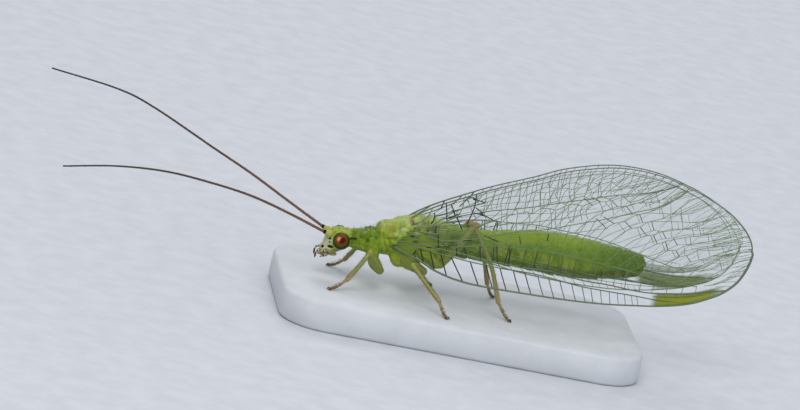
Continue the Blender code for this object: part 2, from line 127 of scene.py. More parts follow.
class Shapes:
    """Closed shapes joined in one mesh, with named values at the vertices."""

    def __init__(self, *names):
        self.verts = []
        self.faces = []
        self.values = {name: [] for name in names}

    def add(self, shape, **values):
        verts, faces = shape
        first = len(self.verts)
        self.verts.extend(verts)
        self.faces.extend(tuple(first + i for i in face) for face in faces)
        for name, kept in self.values.items():
            value = values.get(name, 0.0)
            kept.extend(value if isinstance(value, list) else [value] * len(verts))

    def mesh(self, name):
        mesh = new_mesh(name, self.verts, self.faces)
        set_values(mesh, self.values)
        return mesh


def put(name, mesh, material, nodes=()):
    """A finished piece: moved to the shared frame, coloured and tied to the body."""
    piece = bpy.data.objects.new(name, mesh)
    scene.collection.objects.link(piece)
    mesh.transform(TO_MODEL)
    mesh.shade_smooth()
    mesh.materials.append(material)
    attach(piece, "root")
    if nodes:
        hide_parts(*nodes)
    return piece


# Plain shapes, each as vertices and faces

TUBE_END = 0.3
# Rings of a rounded end: how far out each one lies and how wide it is, as shares of the radius
ROUND_END = ((0.35, 0.90), (0.62, 0.68), (0.80, 0.36))


def ring_faces(rings, sides):
    """The faces between rings of vertices that follow one another."""
    faces = []
    for i in range(rings - 1):
        for k in range(sides):
            a = i * sides + k
            b = i * sides + (k + 1) % sides
            faces.append((a, b, b + sides, a + sides))
    return faces


def fan_faces(ring, sides, tip, turn):
    """The triangles from one ring to a tip, turned round where turn is -1."""
    first = ring * sides
    return [(first + k, first + (k + 1) % sides, tip)[::turn] for k in range(sides)]


def loft_faces(rings, sides):
    """The faces between rings, and a flat one at each end."""
    start = tuple(range(sides))[::-1]
    end = tuple(range((rings - 1) * sides, rings * sides))
    return ring_faces(rings, sides) + [start, end]


def tube(route, radii, sides):
    """A closed tube along a route, with a radius for each point of it."""
    points = [Vector(p) for p in route]
    last = len(points) - 1
    tangents = [
        (points[min(i + 1, last)] - points[max(i - 1, 0)]).normalized() for i in range(last + 1)
    ]
    across = tangents[0].orthogonal().normalized()
    verts = []
    for point, tangent, radius in zip(points, tangents, radii):
        across = (across - tangent * across.dot(tangent)).normalized()
        other = tangent.cross(across)
        for k in range(sides):
            angle = 2.0 * math.pi * k / sides
            verts.append(point + (across * math.cos(angle) + other * math.sin(angle)) * radius)
    faces = ring_faces(last + 1, sides)
    for ring, turn in ((0, -1), (last, 1)):
        faces += fan_faces(ring, sides, len(verts), turn)
        verts.append(points[ring] + tangents[ring] * turn * radii[ring] * TUBE_END)
    return verts, faces


def rod(points, radii, sides=12, rings=14):
    """A smooth tube through a few points, with rounded ends."""
    route = [Vector(p) for p in curve(points, rings)]
    sizes = [smooth_through(radii, i / (rings - 1)) for i in range(rings)]
    start, end = route[0], route[-1]
    first, last = sizes[0], sizes[-1]
    ahead = (route[1] - start).normalized()
    behind = (end - route[-2]).normalized()
    for reach, width in ROUND_END:
        route = [start - ahead * first * reach] + route + [end + behind * last * reach]
        sizes = [first * width] + sizes + [last * width]
    return tube(route, sizes, sides)


def ball(centre, radii, turn=None, sides=24, rings=14):
    """A closed ellipsoid."""
    centre = Vector(centre)
    turn = turn or Matrix.Identity(3)
    verts = []
    for i in range(1, rings):
        low = math.pi * i / rings
        for k in range(sides):
            angle = 2.0 * math.pi * k / sides
            out = (math.sin(low) * math.cos(angle), math.sin(low) * math.sin(angle), math.cos(low))
            verts.append(centre + turn @ Vector([o * r for o, r in zip(out, radii)]))
    faces = [(a, d, c, b) for a, b, c, d in ring_faces(rings - 1, sides)]
    for ring, upward in ((0, 1), (rings - 2, -1)):
        faces += fan_faces(ring, sides, len(verts), upward)
        verts.append(centre + turn @ Vector((0.0, 0.0, radii[2] * upward)))
    return verts, faces


def body_loft(sections, rings, sides, power=2.3):
    """A closed body along X through (x, top, bottom, half width) sections."""
    verts = []
    for x, top, bottom, width in curve(sections, rings):
        for k in range(sides):
            angle = 2.0 * math.pi * k / sides
            c, s = math.cos(angle), math.sin(angle)
            y = width * math.copysign(abs(c) ** (2.0 / power), c)
            z = 0.5 * (top + bottom) + 0.5 * (top - bottom) * math.copysign(abs(s) ** (2.0 / power), s)
            verts.append(Vector((x, y, z)))
    return verts, loft_faces(rings, sides)


# Materials

def new_material(name):
    material = bpy.data.materials.new(name)
    material.use_nodes = True
    nodes = material.node_tree.nodes
    return material, nodes, material.node_tree.links, nodes["Principled BSDF"]


def coordinates(nodes):
    return nodes.new("ShaderNodeTexCoord").outputs["Object"]


def noise_value(nodes, links, scale, detail=3.0):
    texture = nodes.new("ShaderNodeTexNoise")
    texture.inputs["Scale"].default_value = scale
    texture.inputs["Detail"].default_value = detail
    links.new(coordinates(nodes), texture.inputs["Vector"])
    return texture.outputs["Fac"]


def ramp(nodes, links, value, stops):
    node = nodes.new("ShaderNodeValToRGB")
    elements = node.color_ramp.elements
    while len(elements) < len(stops):
        elements.new(0.5)
    for element, (place, colour) in zip(elements, stops):
        element.position = place
        element.color = (*colour, 1.0)
    links.new(value, node.inputs["Fac"])
    return node.outputs["Color"]


# The Mix node's sockets for colours
MIX_SHARE, MIX_FIRST, MIX_SECOND, MIX_RESULT = 0, 6, 7, 2


def mixed(nodes, links, first, second, share):
    """One colour laid over another by a share; each is a value or a socket."""
    node = nodes.new("ShaderNodeMix")
    node.data_type = "RGBA"
    for place, value in ((MIX_FIRST, first), (MIX_SECOND, second), (MIX_SHARE, share)):
        if isinstance(value, tuple):
            node.inputs[place].default_value = (*value, 1.0)
        elif isinstance(value, float):
            node.inputs[place].default_value = value
        else:
            links.new(value, node.inputs[place])
    return node.outputs[MIX_RESULT]


def attribute(nodes, name):
    """A value that the mesh keeps at its vertices."""
    node = nodes.new("ShaderNodeAttribute")
    node.attribute_name = name
    return node.outputs["Fac"]


def bumped(nodes, links, shader, value, strength, distance):
    bump = nodes.new("ShaderNodeBump")
    bump.inputs["Strength"].default_value = strength
    bump.inputs["Distance"].default_value = distance
    links.new(value, bump.inputs["Height"])
    links.new(bump.outputs["Normal"], shader.inputs["Normal"])


LIGHT_GREEN = (0.29, 0.40, 0.022)
MID_GREEN = (0.170, 0.265, 0.004)
DEEP_GREEN = (0.060, 0.125, 0.006)
YELLOW_GREEN = (0.36, 0.40, 0.045)
PALE = (0.55, 0.54, 0.36)
BLUISH = (0.10, 0.235, 0.06)
OLIVE = (0.25, 0.27, 0.035)
BROWN = (0.12, 0.075, 0.012)
BLACK = (0.006, 0.006, 0.005)
NO_LIGHT = (0.0, 0.0, 0.0)
# The skin's colours, laid one over another by the value of that name at the vertices
SKIN_LAYERS = {
    "light": LIGHT_GREEN, "yellow": YELLOW_GREEN, "blue": BLUISH, "olive": OLIVE, "deep": DEEP_GREEN,
    "brown": BROWN, "pale": PALE, "mark": BLACK,
}
TONE_SHADE = 0.35
FILM_TINT, STIGMA_TINT = (0.18, 0.27, 0.15), (0.235, 0.255, 0.002)
FILM_COVER, STIGMA_COVER = 0.020, 0.92
# Stops of the eye's colours: from dark to the painted highlight, and from the rim's inside to its outside
IRIS_STOPS = (
    (0.05, (0.012, 0.001, 0.001)), (0.22, (0.055, 0.002, 0.001)), (0.42, (0.150, 0.024, 0.007)),
    (0.56, (0.190, 0.055, 0.010)), (0.72, (0.340, 0.100, 0.035)), (0.92, (0.620, 0.250, 0.120)),
)
RIM_STOPS = (
    (0.42, (0.120, 0.085, 0.012)), (0.54, (0.045, 0.065, 0.010)), (0.68, (0.012, 0.040, 0.006)),
    (1.00, (0.003, 0.013, 0.003)),
)
RIM_SHARES = ((0.36, NO_LIGHT), (0.58, (1.0, 1.0, 1.0)))
FLECK_SHARES = ((0.50, NO_LIGHT), (0.72, (0.12, 0.12, 0.12)))
GILT = (0.40, 0.20, 0.04)


def skin_material():
    material, nodes, links, shader = new_material("skin_green")
    mottle = noise_value(nodes, links, scale=2600.0)
    base = ramp(nodes, links, mottle, ((0.30, DEEP_GREEN), (0.50, MID_GREEN), (0.72, LIGHT_GREEN)))
    base = mixed(nodes, links, MID_GREEN, base, 0.55)
    for name, colour in SKIN_LAYERS.items():
        base = mixed(nodes, links, base, colour, attribute(nodes, name))
    links.new(base, shader.inputs["Base Color"])
    shader.inputs["Roughness"].default_value = 0.45
    shader.inputs["Specular IOR Level"].default_value = 0.12
    shader.inputs["Subsurface Weight"].default_value = 0.2
    shader.inputs["Subsurface Radius"].default_value = (0.0003, 0.0004, 0.0001)
    grain = noise_value(nodes, links, scale=16000.0, detail=4.0)
    bumped(nodes, links, shader, grain, strength=0.35, distance=0.00002)
    return material


def toned_material(name, light, dark, black, roughness):
    """Between two colours by the value tone, and black by the value mark."""
    material, nodes, links, shader = new_material(name)
    base = mixed(nodes, links, light, dark, attribute(nodes, "tone"))
    spread = noise_value(nodes, links, scale=5200.0)
    shaded = mixed(nodes, links, base, NO_LIGHT, TONE_SHADE)
    base = mixed(nodes, links, base, shaded, spread)
    base = mixed(nodes, links, base, black, attribute(nodes, "mark"))
    links.new(base, shader.inputs["Base Color"])
    shader.inputs["Roughness"].default_value = roughness
    bumped(nodes, links, shader, noise_value(nodes, links, scale=20000.0), strength=0.3, distance=0.00001)
    return material


def membrane_material():
    """A clear film that the value stigma tints and covers."""
    material, nodes, links, shader = new_material("wing_membrane")
    tint = mixed(nodes, links, FILM_TINT, STIGMA_TINT, attribute(nodes, "stigma"))
    links.new(tint, shader.inputs["Base Color"])
    cover = nodes.new("ShaderNodeMath")
    cover.operation = "MULTIPLY_ADD"
    cover.inputs[1].default_value = STIGMA_COVER
    cover.inputs[2].default_value = FILM_COVER
    links.new(attribute(nodes, "stigma"), cover.inputs[0])
    links.new(cover.outputs[0], shader.inputs["Alpha"])
    shader.inputs["Roughness"].default_value = 0.22
    bumped(nodes, links, shader, noise_value(nodes, links, scale=1500.0), strength=0.25, distance=0.00005)
    return material


def eye_material():
    """The iris by a value from dark to a painted highlight, and its green rim by the value ring."""
    material, nodes, links, shader = new_material("eye_gloss")
    iris = ramp(nodes, links, attribute(nodes, "iris_glint"), IRIS_STOPS)
    rim = ramp(nodes, links, attribute(nodes, "ring"), RIM_STOPS)
    edge = ramp(nodes, links, attribute(nodes, "ring"), RIM_SHARES)
    flecks = ramp(nodes, links, noise_value(nodes, links, scale=9000.0, detail=2.0), FLECK_SHARES)
    gilded = mixed(nodes, links, iris, GILT, flecks)
    links.new(mixed(nodes, links, gilded, rim, edge), shader.inputs["Base Color"])
    shader.inputs["Roughness"].default_value = 0.28
    shader.inputs["Specular IOR Level"].default_value = 0.07
    shader.inputs["Coat Weight"].default_value = 0.03
    shader.inputs["Coat Roughness"].default_value = 0.10
    return material


def plain_material(name, colour, roughness):
    material, nodes, links, shader = new_material(name)
    faint = tuple(c * 0.93 for c in colour)
    grain = noise_value(nodes, links, scale=900.0)
    links.new(ramp(nodes, links, grain, ((0.35, faint), (0.65, colour))), shader.inputs["Base Color"])
    shader.inputs["Roughness"].default_value = roughness
    return material


SKIN = skin_material()
EYE = eye_material()
MEMBRANE = membrane_material()
VEIN = toned_material("wing_vein", (0.15, 0.275, 0.045), (0.195, 0.270, 0.165), BLACK, 0.45)
LEG = toned_material("leg_green", (0.25, 0.32, 0.034), (0.40, 0.25, 0.105), (0.05, 0.028, 0.016), 0.5)
ANTENNA = toned_material("antenna_brown", (0.20, 0.095, 0.050), (0.060, 0.032, 0.020), BLACK, 0.45)
MOUTH = toned_material("mouthparts_pale", (0.55, 0.48, 0.26), (0.20, 0.10, 0.03), BLACK, 0.35)
HAIR_PALE = plain_material("hair_pale", (0.50, 0.56, 0.34), 0.5)
HAIR_DARK = plain_material("hair_dark", (0.03, 0.025, 0.015), 0.5)
STAND = plain_material("base_matte", (0.61, 0.63, 0.66), 0.6)
FLOOR = plain_material("floor_pale", (0.62, 0.64, 0.68), 0.8)

# Body sections: x, top, bottom, half width
PROTHORAX = (
    (-1.86, 2.28, 1.52, 0.36), (-1.64, 2.31, 1.44, 0.47), (-1.30, 2.38, 1.40, 0.54),
    (-1.00, 2.48, 1.36, 0.58), (-0.80, 2.56, 1.34, 0.60), (-0.50, 2.66, 1.40, 0.52),
)
MESOTHORAX = (
    (-0.78, 2.54, 1.46, 0.42), (-0.56, 2.78, 1.42, 0.56), (-0.30, 2.95, 1.44, 0.68),
    (0.00, 3.07, 1.46, 0.75), (0.40, 3.26, 1.48, 0.79), (0.84, 3.44, 1.56, 0.75), (1.10, 3.36, 1.66, 0.66),
)
METATHORAX = (
    (1.00, 3.24, 1.74, 0.60), (1.34, 3.36, 1.62, 0.66), (1.58, 3.42, 1.58, 0.68),
    (1.84, 3.40, 1.60, 0.66), (2.12, 3.22, 1.70, 0.54), (2.50, 3.12, 1.86, 0.42),
)
ABDOMEN_START, ABDOMEN_END = 2.30, 11.10
ABDOMEN = (
    (2.30, 3.08, 1.98, 0.40), (2.90, 3.20, 1.94, 0.54), (3.90, 3.30, 1.95, 0.64), (4.90, 3.50, 1.97, 0.71),
    (6.10, 3.72, 1.98, 0.77), (7.30, 3.80, 1.95, 0.79), (8.50, 3.77, 2.03, 0.77), (9.60, 3.68, 2.24, 0.69),
    (10.40, 3.62, 2.42, 0.60), (10.85, 3.54, 2.60, 0.50), (11.10, 3.42, 2.84, 0.32),
)
ABDOMEN_POWER = 2.15
SEGMENTS = 9
SEGMENT_LENGTH = (ABDOMEN_END - ABDOMEN_START) / SEGMENTS
NECK = ((-2.05, 0.0, 1.80), (-1.75, 0.0, 1.86), (-1.45, 0.0, 1.86))
NECK_RADII = (0.42, 0.40, 0.45)

# The head: shares from crown to face, half width, half depth
CROWN = Vector((-1.98, 0.0, 2.12))
FACE_END = Vector((-2.80, 0.0, 1.20))
HEAD = (
    (0.00, 0.22, 0.18), (0.10, 0.46, 0.36), (0.28, 0.60, 0.47), (0.50, 0.62, 0.50),
    (0.72, 0.54, 0.44), (0.90, 0.42, 0.34), (1.00, 0.26, 0.20),
)
HEAD_RINGS, HEAD_SIDES = 30, 36
EYE_CENTRE = Vector((-2.25, 0.64, 1.79))
EYE_RADII = (0.37, 0.36, 0.375)
# Where the iris has its middle, and its painted highlight and darker spots: direction, reach and change
EYE_POLE = (-0.16, 0.94, 0.31)
EYE_GLINT_AND_SPOTS = (
    ((-0.43, 0.82, 0.37), 0.44, 0.50), ((-0.08, 0.96, 0.25), 0.42, -0.46),
    ((0.13, 0.92, 0.37), 0.50, -0.24),
)


def head_loft():
    """A closed body along the line from crown to face."""
    run = FACE_END - CROWN
    axis = run.normalized()
    depth = Vector((axis.z, 0.0, -axis.x))
    verts = []
    for share, width, deep in curve(HEAD, HEAD_RINGS):
        centre = CROWN + axis * run.length * share
        for k in range(HEAD_SIDES):
            angle = 2.0 * math.pi * k / HEAD_SIDES
            across = Vector((0.0, width * math.cos(angle), 0.0))
            verts.append(centre + across + depth * deep * math.sin(angle))
    return verts, loft_faces(HEAD_RINGS, HEAD_SIDES)


# Rounded lumps of the body: centre and radii, each on both sides
LUMPS = (
    # Cheeks, face and temples
    ((-2.56, 0.34, 1.36), (0.27, 0.20, 0.27)), ((-2.86, 0.12, 1.24), (0.20, 0.24, 0.20)),
    ((-2.02, 0.34, 1.86), (0.30, 0.24, 0.34)), ((-2.36, 0.22, 2.02), (0.34, 0.24, 0.19)),
    # Pronotum edges
    ((-0.98, 0.36, 2.12), (0.40, 0.24, 0.34)), ((-1.42, 0.28, 2.02), (0.34, 0.24, 0.26)),
    ((-0.80, 0.38, 1.62), (0.30, 0.24, 0.34)),
    # Shields of the back
    ((-0.34, 0.34, 2.48), (0.44, 0.36, 0.42)), ((0.32, 0.28, 2.84), (0.46, 0.32, 0.36)),
    ((0.86, 0.38, 3.14), (0.26, 0.30, 0.30)), ((1.02, 0.10, 3.24), (0.22, 0.28, 0.26)),
    ((1.52, 0.34, 3.14), (0.36, 0.34, 0.32)), ((1.94, 0.12, 3.18), (0.24, 0.28, 0.22)),
    ((2.50, 0.16, 2.98), (0.40, 0.36, 0.32)),
    # Sides of the thorax and wing roots
    ((-0.30, 0.46, 2.10), (0.40, 0.28, 0.46)), ((0.30, 0.52, 2.10), (0.46, 0.30, 0.52)),
    ((0.80, 0.50, 2.10), (0.34, 0.28, 0.46)), ((1.62, 0.44, 2.24), (0.48, 0.28, 0.46)),
    ((0.20, 0.76, 2.66), (0.30, 0.20, 0.18)), ((0.56, 0.74, 3.00), (0.30, 0.18, 0.16)),
    ((1.44, 0.62, 2.92), (0.28, 0.20, 0.18)), ((-0.14, 0.70, 2.44), (0.24, 0.17, 0.19)),
    ((0.10, 0.84, 2.50), (0.22, 0.14, 0.21)), ((0.02, 0.80, 2.24), (0.22, 0.15, 0.14)),
    ((0.36, 0.88, 2.64), (0.15, 0.10, 0.13)), ((0.62, 0.82, 2.80), (0.13, 0.10, 0.11)),
    ((0.88, 0.76, 2.74), (0.15, 0.12, 0.12)), ((0.30, 0.86, 2.86), (0.20, 0.08, 0.09)),
    ((-0.52, 0.40, 1.92), (0.10, 0.22, 0.26)),
    # Hip swellings
    ((0.40, 0.46, 1.52), (0.42, 0.30, 0.44)), ((0.84, 0.60, 1.38), (0.34, 0.26, 0.30)),
    ((1.42, 0.42, 1.84), (0.30, 0.26, 0.28)),
    ((1.72, 0.42, 1.78), (0.34, 0.26, 0.34)), ((2.16, 0.44, 1.72), (0.30, 0.26, 0.32)),
    # Tail lobes
    ((10.94, 0.17, 3.20), (0.22, 0.20, 0.24)), ((10.66, 0.14, 2.86), (0.34, 0.28, 0.26)),
)
SKIN_VOXEL = 0.028


def voxel_skin(shapes):
    """One closed surface round all the shapes."""
    rough = bpy.data.objects.new("rough", shapes.mesh("rough"))
    scene.collection.objects.link(rough)
    remesh = rough.modifiers.new("remesh", "REMESH")
    remesh.mode = "VOXEL"
    remesh.voxel_size = SKIN_VOXEL
    graph = bpy.context.evaluated_depsgraph_get()
    mesh = bpy.data.meshes.new_from_object(rough.evaluated_get(graph))
    bpy.data.objects.remove(rough)
    return mesh


def vector_array(items, name):
    """One vector of each item, as the rows of an array."""
    values = np.empty(len(items) * 3)
    items.foreach_get(name, values)
    return values.reshape(-1, 3)


def set_vertices(mesh, places):
    mesh.vertices.foreach_set("co", places.reshape(-1))
    mesh.update()


def relax(mesh, rounds, amount):
    """Evens out the steps that the voxels leave."""
    edges = np.empty(len(mesh.edges) * 2, dtype=np.int64)
    mesh.edges.foreach_get("vertices", edges)
    a, b = edges.reshape(-1, 2).T
    places = vector_array(mesh.vertices, "co")
    size = len(places)
    count = np.bincount(a, minlength=size) + np.bincount(b, minlength=size)
    for _ in range(rounds):
        total = np.zeros_like(places)
        for k in range(3):
            total[:, k] = np.bincount(a, places[b, k], size) + np.bincount(b, places[a, k], size)
        places += (total / count[:, None] - places) * amount
    set_vertices(mesh, places)


def noise_array(places, size, shift=0.0):
    """Smooth noise at each place, with lumps of about the given size."""
    return np.array([noise.noise(Vector(p) / size + Vector((shift, shift, shift))) for p in places])


def line_mask(x, z, start, end, width):
    """1 on a line seen from the side, fading to 0 at a distance of width."""
    run = (end[0] - start[0], end[1] - start[1])
    share = ((x - start[0]) * run[0] + (z - start[1]) * run[1]) / (run[0] ** 2 + run[1] ** 2)
    share = np.clip(share, 0.0, 1.0)
    distance = np.hypot(x - start[0] - share * run[0], z - start[1] - share * run[1])
    return 1.0 - ease(0.0, width, distance)


def seam_mask(x, z, width):
    """1 on the seams between the plates."""
    mask = np.zeros(len(x))
    for start, end in SEAMS:
        mask = np.maximum(mask, line_mask(x, z, start, end, width))
    return mask


def spot_mask(places, spots):
    """1 in rounded spots given by centre (x, |y|, z) and radii, with a soft edge."""
    x, y, z = places.T
    mask = np.zeros(len(places))
    for centre, radii in spots:
        steps = zip((x, np.abs(y), z), centre, radii)
        away = np.sqrt(sum(((value - middle) / radius) ** 2 for value, middle, radius in steps))
        mask = np.maximum(mask, 1.0 - ease(0.75, 1.05, away))
    return mask


# Seams between the plates of the thorax and neck shield, seen from the side
SEAMS = (
    ((-0.63, 2.88), (-0.56, 2.48)), ((-0.56, 2.48), (-0.34, 1.97)), ((-0.34, 1.97), (-0.17, 1.69)),
    ((0.12, 3.03), (0.14, 2.62)), ((0.14, 2.62), (-0.01, 2.31)), ((-0.22, 1.98), (0.16, 1.89)),
    ((0.16, 1.89), (0.50, 1.75)), ((0.50, 1.75), (0.96, 1.48)), ((0.96, 1.48), (1.24, 1.35)),
    ((0.54, 1.67), (0.47, 1.38)), ((0.53, 3.29), (0.75, 3.01)), ((0.75, 3.01), (0.77, 2.83)),
    ((1.28, 3.34), (1.30, 3.12)), ((1.30, 3.12), (1.19, 2.92)), ((1.35, 1.74), (1.65, 1.61)),
    ((1.84, 1.97), (2.04, 1.69)), ((2.34, 1.75), (2.50, 2.03)), ((2.24, 3.10), (2.16, 2.00)),
    ((1.10, 2.04), (2.10, 2.06)), ((-0.40, 2.28), (0.02, 2.42)), ((-1.10, 2.56), (-1.06, 1.90)),
    ((-1.50, 2.34), (-1.46, 1.70)), ((-1.78, 2.20), (-1.76, 1.50)), ((-1.46, 1.78), (-0.70, 1.72)),
    ((1.88, 1.99), (2.02, 1.84)), ((2.29, 1.72), (2.41, 1.95)), ((2.37, 1.98), (2.53, 2.19)),
    ((1.76, 1.66), (1.91, 1.41)),
)
# Black marks of the head and prothorax: centre (x, |y|, z) and radii
MARKS = (
    ((-2.74, 0.40, 1.77), (0.08, 0.14, 0.07)), ((-2.72, 0.44, 1.61), (0.045, 0.12, 0.045)),
    ((-2.64, 0.44, 1.43), (0.16, 0.20, 0.085)), ((-2.96, 0.26, 1.32), (0.09, 0.10, 0.08)),
    ((-1.80, 0.48, 1.95), (0.13, 0.16, 0.07)), ((-2.41, 0.20, 2.28), (0.07, 0.06, 0.10)),
    ((-1.66, 0.50, 1.97), (0.10, 0.14, 0.05)), ((-2.72, 0.00, 1.98), (0.07, 0.05, 0.10)),
    ((-2.45, 0.38, 2.24), (0.12, 0.11, 0.05)), ((-2.60, 0.36, 1.10), (0.09, 0.12, 0.06)),
    ((-2.84, 0.26, 1.12), (0.07, 0.10, 0.09)),
)
# Fields of other colours, in the same way
# Brown at the wing roots and in the hollows between the thorax plates: partly brown markings, partly
# painted shade
BROWN_SPOTS_AND_SHADE = (
    ((0.61, 0.55, 3.14), (0.12, 0.40, 0.18)), ((0.72, 0.80, 2.64), (0.14, 0.30, 0.09)),
    ((0.92, 0.80, 2.38), (0.15, 0.30, 0.09)), ((1.34, 0.60, 3.02), (0.10, 0.30, 0.14)),
    ((1.85, 0.55, 3.18), (0.07, 0.30, 0.11)), ((1.62, 0.62, 3.02), (0.08, 0.26, 0.14)),
    ((0.98, 0.72, 2.94), (0.12, 0.18, 0.07)),
)
OLIVE_SPOTS = (
    ((1.10, 0.55, 3.22), (0.17, 0.40, 0.22)), ((-0.16, 0.55, 2.64), (0.22, 0.34, 0.28)),
    ((1.52, 0.70, 2.46), (0.34, 0.30, 0.12)),
)
PALE_SPOTS = (
    ((0.88, 0.78, 2.76), (0.15, 0.22, 0.11)), ((0.30, 0.86, 2.86), (0.24, 0.16, 0.09)),
    ((0.98, 0.55, 3.22), (0.16, 0.40, 0.16)), ((-0.52, 0.44, 1.92), (0.10, 0.22, 0.22)),
    ((0.10, 0.84, 2.62), (0.24, 0.20, 0.10)), ((-0.56, 0.30, 2.74), (0.07, 0.50, 0.34)),
)
CHEEK_SPOTS = (((-2.44, 0.40, 1.24), (0.26, 0.30, 0.17)), ((-2.72, 0.40, 1.24), (0.20, 0.22, 0.07)))
DARK_SPOTS = (
    ((-1.42, 0.44, 2.12), (0.11, 0.20, 0.10)), ((-1.14, 0.48, 2.02), (0.09, 0.20, 0.12)),
    ((-1.02, 0.40, 2.24), (0.14, 0.22, 0.06)), ((-0.78, 0.48, 2.22), (0.12, 0.20, 0.07)),
    ((-1.28, 0.20, 2.36), (0.16, 0.08, 0.10)), ((-0.86, 0.18, 2.54), (0.16, 0.08, 0.10)),
)
# The raised shields of the back
HUMPS = (
    ((-0.30, 0.42, 2.74), (0.34, 0.40, 0.34)), ((0.86, 0.40, 3.20), (0.22, 0.40, 0.22)),
    ((1.50, 0.40, 3.18), (0.30, 0.38, 0.22)),
)
# How deep the seams are cut, in the thorax and in front of it
SEAM_DEPTH, NECK_SEAM_DEPTH, SEAM_WIDTH = 0.050, 0.018, 0.060
# Layers that never cover the skin in full
LAYER_LIMITS = {"blue": 0.8, "pale": 0.85}


def abdomen_fold(places):
    """How far along its segment each vertex lies, and a mask of the abdomen."""
    x = places[:, 0]
    lean = (places[:, 2] - 2.9) * 0.10
    phase = (x + lean - ABDOMEN_START) / SEGMENT_LENGTH
    return phase - np.floor(phase), ease(2.42, 2.70, x)


def belly_level(x):
    """Height of the fold between the back and belly plates."""
    return 2.34 + 0.10 * ease(3.0, 7.0, x) + 0.42 * ease(8.0, 10.8, x)


def skin_relief(mesh):
    """Moves the vertices along their normals for seams, folds and fine wrinkles."""
    places = vector_array(mesh.vertices, "co")
    normals = vector_array(mesh.vertex_normals, "vector")
    x, y, z = places.T
    side = ease(0.25, 0.45, np.abs(y))
    push = np.zeros(len(places))
    for start, end in SEAMS:
        depth = SEAM_DEPTH if start[0] > -0.8 else NECK_SEAM_DEPTH
        push -= depth * line_mask(x, z, start, end, SEAM_WIDTH) * np.where(x > -0.7, side, 1.0)
    phase, tail = abdomen_fold(places)
    groove = 1.0 - ease(0.0, 0.10, np.minimum(phase, 1.0 - phase))
    push += tail * (0.035 * ease(0.35, 0.90, phase) - 0.050 * groove)
    push -= tail * 0.045 * (1.0 - ease(0.0, 0.07, np.abs(z - belly_level(x))))
    ripple = noise_array(places, 0.16)
    wrinkle = noise_array(places * np.array((2.6, 1.0, 1.0)), 0.22, 5.0)
    push += 0.010 * ripple + tail * 0.016 * wrinkle
    set_vertices(mesh, places + normals * push[:, None])
    return ripple, wrinkle


def skin_marks(mesh, ripple, wrinkle):
    """Values that the skin's material turns into its colours, painted highlight and painted shade among
    them.
    """
    places = vector_array(mesh.vertices, "co")
    x, y, z = places.T
    # Fields of the abdomen
    phase, tail = abdomen_fold(places)
    fold = z - belly_level(x)
    top = 3.1 + 0.6 * ease(4.0, 7.0, x) - 0.25 * ease(9.5, 11.0, x)
    # Lighter along the top of the abdomen: partly its paler back line, partly painted highlight where light
    # from above falls
    back = ease(top - 0.38, top - 0.05, z + 0.12 * wrinkle)
    band = 1.0 - ease(0.0, 0.26, np.abs(z - 2.98 - 0.25 * ease(4.0, 8.0, x)))
    patch = (1.0 - ease(0.16, 0.34, np.abs(phase - 0.52))) * (1.0 - ease(0.14, 0.34, np.abs(z - 2.68)))
    patch_tone = (0.40 + 0.9 * wrinkle) * (1.0 - 0.7 * ease(9.0, 10.6, x))
    # Painted shade on the belly, below the fold between back and belly plates
    under = 1.0 - ease(-0.06, 0.10, fold)
    fold_line = (1.0 - ease(0.0, 0.16, np.abs(fold + 0.10))) * 0.6 * ease(4.0, 8.0, x)
    # Fields of the thorax and head
    thorax = ease(-0.80, -0.50, x) * (1.0 - ease(2.2, 2.6, x))
    head = 1.0 - ease(-2.0, -1.7, x)
    humps = spot_mask(places, HUMPS)
    hips = ease(1.75, 1.45, z) * ease(-0.3, 0.1, x) * (1.0 - ease(2.3, 2.6, x))
    cheek = spot_mask(places, CHEEK_SPOTS)
    # Brown along the seams: partly darker sutures, partly painted shade in the grooves
    seams = seam_mask(x, z, 0.035) * ease(0.25, 0.40, np.abs(y))
    shield = (1.0 - ease(-1.0, -0.7, x)) * (1.0 - head) * ease(1.7, 2.3, z)
    snout = (1.0 - ease(-2.72, -2.50, x)) * (1.0 - ease(1.72, 1.95, z))
    chin = head * (1.0 - ease(1.35, 1.6, z))
    # Painted sheen: pale patches over the prothorax's wrinkles, and a pale painted highlight over the top
    # of the thorax
    collar = ease(-1.75, -1.45, x) * (1.0 - ease(-0.80, -0.55, x)) * ease(0.25, 0.75, wrinkle)
    painted_sheen = thorax * ease(2.75, 3.15, z) * (0.25 + 0.3 * wrinkle) + collar * 0.34
    values = {
        # light: the head's lighter green, and painted highlight on the top of the abdomen and on the
        # thorax, more the higher it lies
        "light": tail * back * 0.68 + thorax * (0.55 + 0.35 * ease(2.4, 3.0, z)) + head * 0.45,
        "yellow": tail * patch * patch_tone + humps * 0.2 + hips * 0.75 + thorax * 0.2 * (1.0 - hips)
        + head * 0.62,
        "blue": tail * band * (0.20 + 0.7 * wrinkle) + thorax * 0.5 * ease(0.1, 0.6, ripple),
        "olive": humps * 0.5 + hips * 0.2 + spot_mask(places, OLIVE_SPOTS) * 0.8,
        # deep: darker towards the tail, painted shade on the belly, the dark blotches of the prothorax and
        # its darker shield
        "deep": tail * (0.12 + 0.75 * ease(7.6, 10.6, x)) + tail * under * 0.5
        + spot_mask(places, DARK_SPOTS) * 0.9 + shield * 0.35,
        # brown: the abdomen's fold line, brown cheeks, and brown on the seams and at the wing roots that is
        # partly painted shade
        "brown": tail * fold_line + seams * 0.60 + spot_mask(places, BROWN_SPOTS_AND_SHADE) * 0.95 + cheek * 0.42,
        # pale: the pale snout and chin, pale spots, and the painted sheen of the thorax and prothorax
        "pale": (snout * 0.75 + chin * 0.35) * (1.0 - 0.8 * cheek) + painted_sheen
        + spot_mask(places, PALE_SPOTS) * 0.45,
        "mark": spot_mask(places, MARKS),
    }
    set_values(mesh, {
        name: np.clip(value, 0.0, LAYER_LIMITS.get(name, 1.0)) for name, value in values.items()
    })


